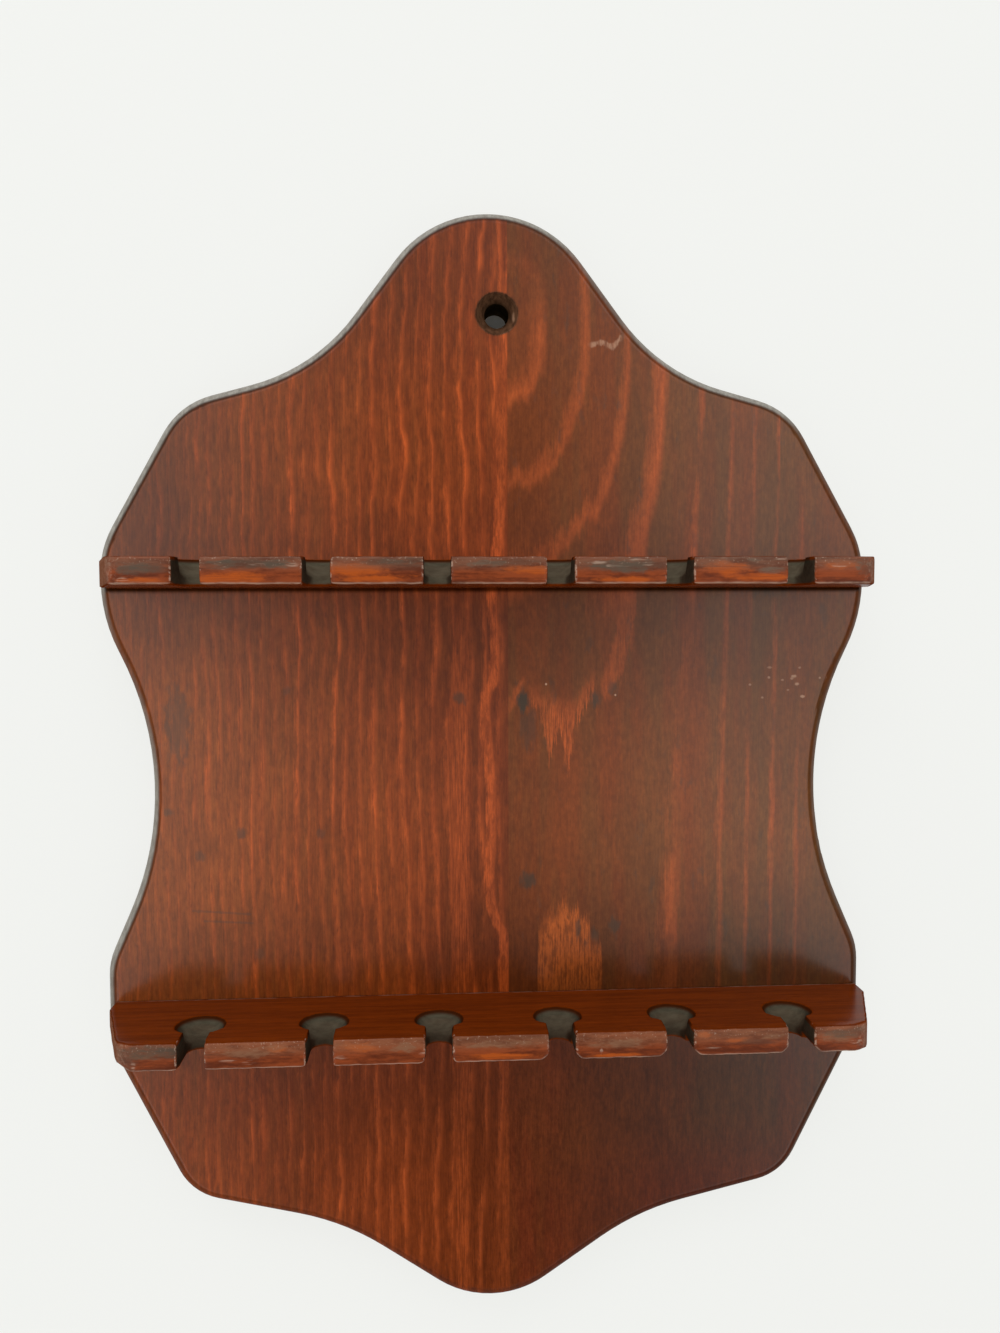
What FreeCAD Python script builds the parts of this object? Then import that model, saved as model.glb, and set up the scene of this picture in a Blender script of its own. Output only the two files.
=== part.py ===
import FreeCAD, Part
import math
import os

# Sizes in millimetres. X runs across the rack, Y runs back to the wall, Z is up.
# The origin is the hanging hole's axis at the back of the board, which lies on the wall.
# Widths are half widths from the board's centreline, drops are measured from the corner above.

# Backboard, two planks glued edge to edge
BOARD_THICKNESS = 12.7
FRONT_EDGE_ROUND = 3.0
GLUE_LINE_OFFSET = 4.7

# Backboard outline, from the crown down to the tail, as corner points with their radii
OUTLINE_HEIGHT = 317.5
CROWN_RISE = 46.5
CROWN_RADIUS = 30.5
CROWN_FOOT_HALF_WIDTH = 45.5
CROWN_FOOT_DROP = 14.0
CROWN_FOOT_RADIUS = 50.0
SHOULDER_HALF_WIDTH = 80.5
SHOULDER_DROP = 9.5
SHOULDER_RADIUS = 20.5
CHEEK_HALF_WIDTH = 101.5
UPPER_CHEEK_DROP = 37.5
UPPER_CHEEK_TOP_RADIUS = 26.0
UPPER_CHEEK_HEIGHT = 18.0
UPPER_CHEEK_FOOT_RADIUS = 42.0
WAIST_HALF_WIDTH = 80.5
WAIST_DROP = 43.0
WAIST_RADIUS = 81.0
LOWER_CHEEK_TOP_RADIUS = 17.5
LOWER_CHEEK_HEIGHT = 22.5
LOWER_CHEEK_FOOT_RADIUS = 10.0
SKIRT_HALF_WIDTH = 81.0
SKIRT_DROP = 41.5
SKIRT_RADIUS = 15.5
SKIRT_HOLLOW_HALF_WIDTH = 40.5
SKIRT_HOLLOW_DROP = 9.5
SKIRT_HOLLOW_RADIUS = 67.5
TAIL_DROP = 27.5
TAIL_RADIUS = 26.5

# Hanging hole, drilled a little off the centreline and countersunk from the front
HOLE_OFFSET = 2.0
HOLE_BORE = 6.4
HOLE_MOUTH = 11.0
COUNTERSINK_ANGLE = 90.0

# Rails, each standing edge on against the board's face
RAIL_THICKNESS = 6.8
RAIL_END_INSET = 1.75
RAIL_SHIFT = 0.6
RAIL_END_SQUARE = 5.5
RAIL_END_BEND_RADIUS = 12.0
RAIL_END_TAPER = 8.6
RAIL_CORNER_RADIUS = 4.0
RAIL_EDGE_ROUND = 1.2
UPPER_RAIL_DROP = 3.5
LOWER_RAIL_DROP = 10.0

# Keyhole notches that hold the spoons by their necks: a slot in from the front with a round end,
# under a half round seat that is scooped out of the rail's top
KEYHOLE_COUNT = 6
KEYHOLE_NECK = 6.3
KEYHOLE_SEAT = 12.2
KEYHOLE_SEAT_FRONT = 2.4
KEYHOLE_SEAT_DEPTH = 5.0
KEYHOLE_SEAT_FOOT = 5.4
KEYHOLE_SEAT_LEAN = 1.95
KEYHOLE_WEB = 10.9
KEYHOLE_THROAT = 8.6
KEYHOLE_END_TOOTH = 17.75
KEYHOLE_ROW_SHIFT = 0.3

# Countersunk wood screws, driven through the board into the back of each rail
SCREW_SHANK = 2.8
SCREW_CORE = 2.2
SCREW_HEAD = 5.6
SCREW_HEAD_ANGLE = 90.0
SCREW_HEAD_SINK = 0.3
SCREW_BITE = 10.0
SCREW_TIP = 2.5
SCREW_SLOT_WIDTH = 0.8
SCREW_SLOT_DEPTH = 0.7
SCREW_SLOT_TURN = 50.0
SCREW_HOLE_CLEARANCE = 0.1
SCREW_PILOT_CLEARANCE = 0.05

# Derived sizes and places
CENTRE_X = -HOLE_OFFSET
FRONT_Y = -BOARD_THICKNESS
GLUE_X = CENTRE_X + GLUE_LINE_OFFSET
CROWN_FOOT_Z = -CROWN_FOOT_DROP
SHOULDER_Z = CROWN_FOOT_Z - SHOULDER_DROP
UPPER_CHEEK_Z = SHOULDER_Z - UPPER_CHEEK_DROP
UPPER_CHEEK_FOOT_Z = UPPER_CHEEK_Z - UPPER_CHEEK_HEIGHT
WAIST_Z = UPPER_CHEEK_FOOT_Z - WAIST_DROP
TAIL_Z = CROWN_RISE - OUTLINE_HEIGHT
SKIRT_HOLLOW_Z = TAIL_Z + TAIL_DROP
SKIRT_Z = SKIRT_HOLLOW_Z + SKIRT_HOLLOW_DROP
LOWER_CHEEK_FOOT_Z = SKIRT_Z + SKIRT_DROP
LOWER_CHEEK_Z = LOWER_CHEEK_FOOT_Z + LOWER_CHEEK_HEIGHT
RAIL_CENTRE_X = CENTRE_X + RAIL_SHIFT
RAIL_DEPTH = KEYHOLE_WEB + KEYHOLE_SEAT / 2 + KEYHOLE_SEAT_FRONT + KEYHOLE_THROAT
RAIL_HALF_LENGTH = CHEEK_HALF_WIDTH - RAIL_END_INSET
RAIL_FRONT_HALF_LENGTH = RAIL_HALF_LENGTH - RAIL_END_TAPER
RAIL_FRONT_Y = FRONT_Y - RAIL_DEPTH
SEAT_Y = FRONT_Y - KEYHOLE_WEB - KEYHOLE_SEAT / 2
SLOT_END_Y = SEAT_Y - KEYHOLE_SEAT_LEAN
KEYHOLE_ROW = 2 * (RAIL_FRONT_HALF_LENGTH - KEYHOLE_END_TOOTH)
KEYHOLE_PITCH = KEYHOLE_ROW / (KEYHOLE_COUNT - 1)
RAIL_TOPS = {
    "upper_rail": UPPER_CHEEK_Z - UPPER_RAIL_DROP,
    "lower_rail": LOWER_CHEEK_Z - LOWER_RAIL_DROP,
}

# Cutting tools reach this far past the faces that they open
OVERCUT = 2.0

# An edge lies in a plane if it strays from it by less than this
FLATNESS = 0.001


def direction(start, end):
    """Unit vector from one point to another."""
    return (end - start).normalize()


def rounded_wire(points, radii):
    """Closed wire through corner points, each corner an arc no larger than its two runs allow."""
    count = len(points)
    lengths = [points[i].distanceToPoint(points[(i + 1) % count]) for i in range(count)]
    ahead = [direction(points[i], points[(i + 1) % count]) for i in range(count)]
    half_turn = [math.tan(ahead[i - 1].getAngle(ahead[i]) / 2) for i in range(count)]
    wanted = [radii[i] * half_turn[i] for i in range(count)]
    share = []
    for i in range(count):
        used = wanted[i] + wanted[(i + 1) % count]
        share.append(min(1.0, lengths[i] / max(used, lengths[i])))
    reach = [wanted[i] * min(share[i - 1], share[i]) for i in range(count)]

    edges = []
    last = points[-1] + ahead[-1] * reach[-1]
    for i in range(count):
        start = points[i] - ahead[i - 1] * reach[i]
        end = points[i] + ahead[i] * reach[i]
        if start.distanceToPoint(last) > Part.Precision.confusion():
            edges.append(Part.LineSegment(last, start).toShape())
        if reach[i] > 0:
            radius = reach[i] / half_turn[i]
            inward = (ahead[i] - ahead[i - 1]).normalize()
            middle = points[i] + inward * (math.hypot(reach[i], radius) - radius)
            edges.append(Part.Arc(start, middle, end).toShape())
        last = end
    return Part.Wire(edges)


def edges_at(solid, plane_y=None, plane_z=None):
    """Edges of a solid that lie wholly in one plane of constant Y or Z."""
    found = []
    for edge in solid.Edges:
        box = edge.BoundBox
        in_y = plane_y is not None and box.YLength < FLATNESS and abs(box.YMin - plane_y) < FLATNESS
        in_z = plane_z is not None and box.ZLength < FLATNESS and abs(box.ZMin - plane_z) < FLATNESS
        if in_y or in_z:
            found.append(edge)
    return found


def cylinder_along_y(radius, x, z, y_back, y_front):
    """Round bar from a back plane to a front plane."""
    start = FreeCAD.Vector(x, y_back, z)
    return Part.makeCylinder(radius, y_back - y_front, start, FreeCAD.Vector(0, -1, 0))


def board_outline():
    """Scalloped outline of the whole backboard, on its back face."""
    corners = [
        (0, CROWN_RISE, CROWN_RADIUS),
        (CROWN_FOOT_HALF_WIDTH, CROWN_FOOT_Z, CROWN_FOOT_RADIUS),
        (SHOULDER_HALF_WIDTH, SHOULDER_Z, SHOULDER_RADIUS),
        (CHEEK_HALF_WIDTH, UPPER_CHEEK_Z, UPPER_CHEEK_TOP_RADIUS),
        (CHEEK_HALF_WIDTH, UPPER_CHEEK_FOOT_Z, UPPER_CHEEK_FOOT_RADIUS),
        (WAIST_HALF_WIDTH, WAIST_Z, WAIST_RADIUS),
        (CHEEK_HALF_WIDTH, LOWER_CHEEK_Z, LOWER_CHEEK_TOP_RADIUS),
        (CHEEK_HALF_WIDTH, LOWER_CHEEK_FOOT_Z, LOWER_CHEEK_FOOT_RADIUS),
        (SKIRT_HALF_WIDTH, SKIRT_Z, SKIRT_RADIUS),
        (SKIRT_HOLLOW_HALF_WIDTH, SKIRT_HOLLOW_Z, SKIRT_HOLLOW_RADIUS),
        (0, TAIL_Z, TAIL_RADIUS),
    ]
    mirrored = [(-half_width, z, radius) for half_width, z, radius in corners[-2:0:-1]]
    whole = corners + mirrored
    points = [FreeCAD.Vector(CENTRE_X + x, 0, z) for x, z, radius in whole]
    return rounded_wire(points, [radius for x, z, radius in whole])


def hanging_hole():
    """Through bore on the origin, with its countersink opening to the front."""
    bore = cylinder_along_y(HOLE_BORE / 2, 0, 0, OVERCUT, FRONT_Y - OVERCUT)
    slope = math.tan(math.radians(COUNTERSINK_ANGLE / 2))
    depth = (HOLE_MOUTH / 2) / slope
    tip = FreeCAD.Vector(0, FRONT_Y + depth, 0)
    reach = depth + OVERCUT
    cone = Part.makeCone(0, reach * slope, reach, tip, FreeCAD.Vector(0, -1, 0))
    return bore.fuse(cone)


def whole_board():
    """Backboard before it is parted at the glue line, with its front edge rounded over."""
    blank = Part.Face(board_outline()).extrude(FreeCAD.Vector(0, FRONT_Y, 0))
    rounded = blank.makeFillet(FRONT_EDGE_ROUND, edges_at(blank, plane_y=FRONT_Y))
    return rounded.cut(hanging_hole())


def plank(board, left):
    """The part of the board on one side of the glue line."""
    box = board.BoundBox
    x_low = box.XMin - OVERCUT if left else GLUE_X
    x_high = GLUE_X if left else box.XMax + OVERCUT
    corner = FreeCAD.Vector(x_low, box.YMin - OVERCUT, box.ZMin - OVERCUT)
    side = Part.makeBox(x_high - x_low, box.YLength + 2 * OVERCUT, box.ZLength + 2 * OVERCUT, corner)
    return board.common(side)


def rail_blank(top):
    """Rail with tapered ends and eased edges, before its keyholes are cut."""
    half_plan = [
        (RAIL_HALF_LENGTH, FRONT_Y, 0),
        (RAIL_HALF_LENGTH, FRONT_Y - RAIL_END_SQUARE, RAIL_END_BEND_RADIUS),
        (RAIL_FRONT_HALF_LENGTH, RAIL_FRONT_Y, RAIL_CORNER_RADIUS),
    ]
    plan = half_plan + [(-x, y, radius) for x, y, radius in reversed(half_plan)]
    points = [FreeCAD.Vector(RAIL_CENTRE_X + x, y, top) for x, y, radius in plan]
    face = Part.Face(rounded_wire(points, [radius for x, y, radius in plan]))
    blank = face.extrude(FreeCAD.Vector(0, 0, -RAIL_THICKNESS))
    joint = edges_at(blank, plane_y=FRONT_Y)
    eased = []
    for edge in edges_at(blank, plane_z=top) + edges_at(blank, plane_z=top - RAIL_THICKNESS):
        if not any(edge.isSame(other) for other in joint):
            eased.append(edge)
    return blank.makeFillet(RAIL_EDGE_ROUND, eased)


def keyhole_places():
    """X of each keyhole's centre, from left to right."""
    first = RAIL_CENTRE_X + KEYHOLE_ROW_SHIFT - KEYHOLE_ROW / 2
    return [first + i * KEYHOLE_PITCH for i in range(KEYHOLE_COUNT)]


def keyhole_seat(x, top):
    """Scoop that slopes from a wide rim at the rail's top down to the slot's end, straight in front."""
    rim = Part.Wire(Part.makeCircle(KEYHOLE_SEAT / 2, FreeCAD.Vector(x, SEAT_Y, top)))
    foot_middle = FreeCAD.Vector(x, SLOT_END_Y, top - KEYHOLE_SEAT_DEPTH)
    foot = Part.Wire(Part.makeCircle(KEYHOLE_SEAT_FOOT / 2, foot_middle))
    slope = Part.makeLoft([foot, rim], True, True)
    mouth = Part.makeCylinder(KEYHOLE_SEAT / 2, OVERCUT, FreeCAD.Vector(x, SEAT_Y, top))
    corner = FreeCAD.Vector(x - KEYHOLE_SEAT, SEAT_Y - KEYHOLE_SEAT_FRONT, top - RAIL_THICKNESS)
    behind = Part.makeBox(2 * KEYHOLE_SEAT, 2 * KEYHOLE_SEAT, RAIL_THICKNESS + 2 * OVERCUT, corner)
    return slope.fuse(mouth).common(behind)


def keyhole(x, top):
    """Slot through the rail's front edge, with a round end, and the seat above its end."""
    bottom = top - RAIL_THICKNESS - OVERCUT
    height = RAIL_THICKNESS + 2 * OVERCUT
    end = Part.makeCylinder(KEYHOLE_NECK / 2, height, FreeCAD.Vector(x, SLOT_END_Y, bottom))
    neck_length = SLOT_END_Y - RAIL_FRONT_Y + OVERCUT
    corner = FreeCAD.Vector(x - KEYHOLE_NECK / 2, RAIL_FRONT_Y - OVERCUT, bottom)
    neck = Part.makeBox(KEYHOLE_NECK, neck_length, height, corner)
    return neck.fuse([end, keyhole_seat(x, top)])


def screw_places():
    """X of each screw in a rail: midway between keyholes, leaving out the gap at the glue line."""
    holes = keyhole_places()
    gaps = [(holes[i] + holes[i + 1]) / 2 for i in range(KEYHOLE_COUNT - 1)]
    nearest = min(gaps, key=lambda x: abs(x - GLUE_X))
    return [x for x in gaps if x != nearest]


def turned_about_y(profile, x, z):
    """Solid turned from a half profile of (radius, y) points about an axis along Y."""
    points = [FreeCAD.Vector(x + radius, y, z) for radius, y in profile]
    face = Part.Face(Part.makePolygon(points + [points[0]]))
    return face.revolve(FreeCAD.Vector(x, 0, z), FreeCAD.Vector(0, 1, 0), 360)


def screw_head_depth():
    """Height of the countersunk head, from its flat to where the shank begins."""
    return (SCREW_HEAD - SCREW_SHANK) / 2 / math.tan(math.radians(SCREW_HEAD_ANGLE / 2))


def screw(x, z, turn):
    """Countersunk slotted wood screw, its head just below the board's back face."""
    head_y = -SCREW_HEAD_SINK
    neck_y = head_y - screw_head_depth()
    tip_y = FRONT_Y - SCREW_BITE
    profile = [
        (0, head_y),
        (SCREW_HEAD / 2, head_y),
        (SCREW_SHANK / 2, neck_y),
        (SCREW_SHANK / 2, FRONT_Y),
        (SCREW_CORE / 2, FRONT_Y),
        (SCREW_CORE / 2, tip_y + SCREW_TIP),
        (0, tip_y),
    ]
    body = turned_about_y(profile, x, z)
    corner = FreeCAD.Vector(x - SCREW_HEAD, head_y - SCREW_SLOT_DEPTH, z - SCREW_SLOT_WIDTH / 2)
    slot = Part.makeBox(2 * SCREW_HEAD, SCREW_SLOT_DEPTH + OVERCUT, SCREW_SLOT_WIDTH, corner)
    slot.rotate(FreeCAD.Vector(x, 0, z), FreeCAD.Vector(0, 1, 0), turn)
    return body.cut(slot)


def screw_hole(x, z):
    """Clearance hole and countersink in the board for one screw."""
    shank = SCREW_SHANK / 2 + SCREW_HOLE_CLEARANCE
    head = SCREW_HEAD / 2 + SCREW_HOLE_CLEARANCE
    neck_y = -SCREW_HEAD_SINK - screw_head_depth()
    profile = [
        (0, OVERCUT),
        (head, OVERCUT),
        (head, -SCREW_HEAD_SINK),
        (shank, neck_y),
        (shank, FRONT_Y - OVERCUT),
        (0, FRONT_Y - OVERCUT),
    ]
    return turned_about_y(profile, x, z)


def pilot_hole(x, z):
    """Blind hole in the back of a rail that the screw's thread bites into."""
    radius = SCREW_CORE / 2 + SCREW_PILOT_CLEARANCE
    return cylinder_along_y(radius, x, z, FRONT_Y + OVERCUT, FRONT_Y - SCREW_BITE - SCREW_PILOT_CLEARANCE)


def rail(top):
    """Finished rail: keyholes through it and pilot holes in its back edge."""
    cuts = [keyhole(x, top) for x in keyhole_places()]
    cuts += [pilot_hole(x, top - RAIL_THICKNESS / 2) for x in screw_places()]
    return rail_blank(top).cut(cuts)


def build():
    """Every piece of the rack by its name."""
    pieces = {}
    board = whole_board()
    for name, top in RAIL_TOPS.items():
        middle = top - RAIL_THICKNESS / 2
        pieces[name] = rail(top)
        for number, x in enumerate(screw_places(), start=1):
            pieces[f"{name}_screw_{number}"] = screw(x, middle, number * SCREW_SLOT_TURN)
            board = board.cut(screw_hole(x, middle))
    pieces["left_plank"] = plank(board, left=True)
    pieces["right_plank"] = plank(board, left=False)
    return pieces


os.makedirs("parts", exist_ok=True)
for piece_name, shape in build().items():
    solid = shape.Solids[0] if len(shape.Solids) == 1 else shape
    solid.exportStep(os.path.join("parts", piece_name + ".step"))
    box = solid.BoundBox
    print(piece_name, len(shape.Solids), "solid", solid.isValid(), round(solid.Volume, 1), "mm3",
          [round(v, 2) for v in (box.XLength, box.YLength, box.ZLength)])
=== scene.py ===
import logging
import math
from dataclasses import dataclass
from enum import Enum
from typing import Sequence, Union

import bpy
from mathutils import Matrix, Vector


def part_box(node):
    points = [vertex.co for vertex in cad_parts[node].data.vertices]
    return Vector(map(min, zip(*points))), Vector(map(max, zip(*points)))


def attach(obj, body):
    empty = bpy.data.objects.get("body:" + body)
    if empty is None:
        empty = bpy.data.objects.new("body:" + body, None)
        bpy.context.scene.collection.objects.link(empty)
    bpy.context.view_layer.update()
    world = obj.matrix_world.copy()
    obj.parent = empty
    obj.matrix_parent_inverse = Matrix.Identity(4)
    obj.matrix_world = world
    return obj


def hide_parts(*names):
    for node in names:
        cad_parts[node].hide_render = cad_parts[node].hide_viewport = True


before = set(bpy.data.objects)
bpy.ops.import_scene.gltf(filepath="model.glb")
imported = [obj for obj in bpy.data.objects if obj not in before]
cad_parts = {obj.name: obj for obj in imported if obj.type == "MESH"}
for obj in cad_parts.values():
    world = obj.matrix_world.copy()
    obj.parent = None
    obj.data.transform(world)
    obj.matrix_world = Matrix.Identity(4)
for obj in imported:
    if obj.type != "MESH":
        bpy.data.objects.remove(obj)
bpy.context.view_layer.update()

LOG = logging.getLogger("spoon_rack")
MM = 0.001
NOISE_RANGE = (0.3, 0.7)

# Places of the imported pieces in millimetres, for the finishes
BOARD_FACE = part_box("left_plank")[0].y / MM
RAIL_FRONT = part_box("upper_rail")[0].y / MM
UPPER_FOOT, UPPER_TOP = (corner.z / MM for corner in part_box("upper_rail"))
LOWER_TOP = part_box("lower_rail")[1].z / MM

Socket = bpy.types.NodeSocket
Colour = tuple[float, float, float]
Feed = Union[Socket, float, Sequence[float]]


class NodeBench:
    """Places shader nodes in one tree and wires them together."""

    MEASURES = ("DISTANCE", "DOT_PRODUCT", "LENGTH")

    def __init__(self, tree: bpy.types.NodeTree) -> None:
        """Keeps the tree that the nodes go into."""
        self.tree = tree

    def node(self, kind: str, **settings: object) -> bpy.types.Node:
        """Adds one node.

        Args:
            kind: Blender's name for the node's type.
            **settings: properties to set on it.

        Returns:
            The new node.
        """
        made = self.tree.nodes.new(kind)
        for name, value in settings.items():
            setattr(made, name, value)
        return made

    def feed(self, socket: Socket, value: Feed) -> None:
        """Links a socket to another one, or sets it to a constant.

        Args:
            socket: the input to feed.
            value: an output to link or a constant.
        """
        if isinstance(value, bpy.types.NodeSocket):
            self.tree.links.new(value, socket)
        else:
            socket.default_value = value

    def wire(self, made: bpy.types.Node, *values: Feed) -> bpy.types.Node:
        """Feeds the inputs of a node from the first one on.

        Args:
            made: the node.
            *values: what its inputs take.

        Returns:
            The same node.
        """
        for socket, value in zip(made.inputs, values):
            self.feed(socket, value)
        return made

    def close(self, shader: Socket) -> None:
        """Ends a material's tree with a shader."""
        self.feed(self.node("ShaderNodeOutputMaterial").inputs["Surface"], shader)

    def blend(self, share: Feed, first: Socket, second: Socket) -> Socket:
        """Mix of two shaders, by the share of the second."""
        return self.wire(self.node("ShaderNodeMixShader"), share, first, second).outputs[0]

    def coordinates(self, kind: str) -> Socket:
        """The surface's own coordinates of one kind."""
        return self.node("ShaderNodeTexCoord").outputs[kind]

    def math(self, operation: str, *values: Feed, clamp: bool = False) -> Socket:
        """Adds a Math node.

        Args:
            operation: the node's operation.
            *values: what its inputs take.
            clamp: whether the result is held between 0 and 1.

        Returns:
            The node's result.
        """
        made = self.node("ShaderNodeMath", operation=operation, use_clamp=clamp)
        return self.wire(made, *values).outputs[0]

    def folded(self, operation: str, values: Sequence[Feed]) -> Socket:
        """Joins values by one Math operation, two at a time.

        Args:
            operation: the nodes' operation.
            values: what is joined, from the first on.

        Returns:
            The last node's result.
        """
        total = values[0]
        for value in values[1:]:
            total = self.math(operation, total, value)
        return total

    def add(self, *values: Feed) -> Socket:
        """Sum of the values."""
        return self.folded("ADD", values)

    def times(self, *values: Feed) -> Socket:
        """Product of the values."""
        return self.folded("MULTIPLY", values)

    def largest(self, *values: Feed) -> Socket:
        """Largest of the values."""
        return self.folded("MAXIMUM", values)

    def minus(self, first: Feed, second: Feed) -> Socket:
        """First value less the second."""
        return self.math("SUBTRACT", first, second)

    def over(self, first: Feed, second: Feed) -> Socket:
        """First value divided by the second."""
        return self.math("DIVIDE", first, second)

    def absolute(self, value: Feed) -> Socket:
        """Value without its sign."""
        return self.math("ABSOLUTE", value)

    def without(self, mask: Feed) -> Socket:
        """What a mask leaves over."""
        return self.math("SUBTRACT", 1.0, mask)

    def held(self, value: Feed) -> Socket:
        """Value held between 0 and 1."""
        return self.math("MINIMUM", self.largest(value, 0.0), 1.0)

    def vector(self, operation: str, *values: Feed) -> Socket:
        """Adds a Vector Math node.

        Args:
            operation: the node's operation.
            *values: what its inputs take.

        Returns:
            The node's result, a value if the operation measures and a vector if not.
        """
        made = self.wire(self.node("ShaderNodeVectorMath", operation=operation), *values)
        return made.outputs["Value" if operation in self.MEASURES else "Vector"]

    def scaled(self, vector: Feed, factors: Feed) -> Socket:
        """Vector multiplied by a factor along each axis."""
        return self.vector("MULTIPLY", vector, factors)

    def dot(self, first: Feed, second: Feed) -> Socket:
        """Dot product of two vectors."""
        return self.vector("DOT_PRODUCT", first, second)

    def split(self, vector: Feed) -> tuple[Socket, ...]:
        """The three parts of a vector."""
        return tuple(self.wire(self.node("ShaderNodeSeparateXYZ"), vector).outputs)

    def joined(self, x: Feed, y: Feed, z: Feed) -> Socket:
        """Vector made of three values."""
        return self.wire(self.node("ShaderNodeCombineXYZ"), x, y, z).outputs[0]

    def noise(self, vector: Feed, scale: float, detail: float, rough: float) -> Socket:
        """Soft noise between 0 and 1.

        Args:
            vector: where it is read.
            scale: features per unit of the vector.
            detail: finer octaves.
            rough: weight of the finer octaves.

        Returns:
            The noise value.
        """
        made = self.node("ShaderNodeTexNoise")
        for name, value in (("Vector", vector), ("Scale", scale), ("Detail", detail), ("Roughness", rough)):
            self.feed(made.inputs[name], value)
        return made.outputs["Fac"]

    def stretched(self, place: Feed, features: Sequence[float], detail: float, rough: float) -> Socket:
        """Soft noise with its own number of features per millimetre along each axis."""
        return self.noise(self.scaled(place, features), 1.0, detail, rough)

    def span(self, value: Feed, low: Feed, high: Feed, to_low: Feed = 0.0, to_high: Feed = 1.0) -> Socket:
        """Smooth step from one value to another.

        Args:
            value: what is measured.
            low: where the step begins.
            high: where the step ends.
            to_low: result before the step.
            to_high: result after the step.

        Returns:
            The stepped value.
        """
        made = self.node("ShaderNodeMapRange", interpolation_type="SMOOTHSTEP")
        return self.wire(made, value, low, high, to_low, to_high).outputs[0]

    def varied(self, noise: Feed, least: float = 0.0, most: float = 1.0) -> Socket:
        """Noise spread over its usual range, so that it runs from the least to the most."""
        return self.span(noise, *NOISE_RANGE, least, most)

    def mix(self, factor: Feed, first: Feed, second: Feed, blend: str = "MIX") -> Socket:
        """Mix of two colours.

        Args:
            factor: share of the second colour.
            first: colour at 0.
            second: colour at 1.
            blend: how they are combined.

        Returns:
            The mixed colour.
        """
        made = self.node("ShaderNodeMix", data_type="RGBA", blend_type=blend)
        self.feed(made.inputs["Factor"], factor)
        for name, value in (("A", first), ("B", second)):
            socket = next(s for s in made.inputs if s.name == name and s.type == "RGBA")
            self.feed(socket, (*value, 1.0) if isinstance(value, tuple) else value)
        return next(s for s in made.outputs if s.type == "RGBA")

    def ramp(self, value: Feed, stops: Sequence[tuple[float, float]]) -> Socket:
        """Grey ramp through stops.

        Args:
            value: position along the ramp, from 0 to 1.
            stops: pairs of position and grey level.

        Returns:
            The grey level.
        """
        made = self.node("ShaderNodeValToRGB")
        ramp = made.color_ramp
        ramp.interpolation = "LINEAR"
        while len(ramp.elements) < len(stops):
            ramp.elements.new(1.0)
        for element, (place, level) in zip(ramp.elements, sorted(stops)):
            element.position = place
            element.color = (level, level, level, 1.0)
        return self.wire(made, value).outputs[0]

    def curve(
            self, value: Feed, points: Sequence[tuple[float, float]], low: float, high: float,
            sharp: bool = False) -> Socket:
        """Curve through points.

        Args:
            value: what the curve is read at.
            points: pairs of place and height, in rising order of place.
            low: height at the curve's bottom.
            high: height at the curve's top.
            sharp: whether it turns sharply at its points.

        Returns:
            The curve's height.
        """
        start, end = points[0][0], points[-1][0]
        place = self.wire(self.node("ShaderNodeMapRange"), value, start, end).outputs[0]
        made = self.node("ShaderNodeFloatCurve")
        line = made.mapping.curves[0]
        while len(line.points) < len(points):
            line.points.new(0.5, 0.5)
        for point, (at, height) in zip(line.points, points):
            point.location = ((at - start) / (end - start), (height - low) / (high - low))
            point.handle_type = "VECTOR" if sharp else "AUTO"
        made.mapping.update()
        self.feed(made.inputs["Value"], place)
        return self.add(self.times(made.outputs[0], high - low), low)


def blank(name: str) -> tuple[bpy.types.Material, NodeBench]:
    """Makes a material with an empty tree.

    Args:
        name: the material's name.

    Returns:
        The material and the bench of its tree.
    """
    material = bpy.data.materials.new(name)
    material.use_nodes = True
    material.node_tree.nodes.clear()
    return material, NodeBench(material.node_tree)


def linear(level: int) -> float:
    """Scene-linear value of a screen value from 0 to 255."""
    share = level / 255.0
    return share / 12.92 if share <= 0.04045 else ((share + 0.055) / 1.055) ** 2.4


def stain(red: int, green: int, blue: int) -> Colour:
    """Scene-linear colour of a swatch given as screen values."""
    return linear(red), linear(green), linear(blue)


class Effect(Enum):
    """Shader groups that several finishes share."""

    FIBRES = "wood_fibres"
    EDGES = "edge_rub"
    SPOT = "stain_spot"
    STROKE = "scuff_stroke"


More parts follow.
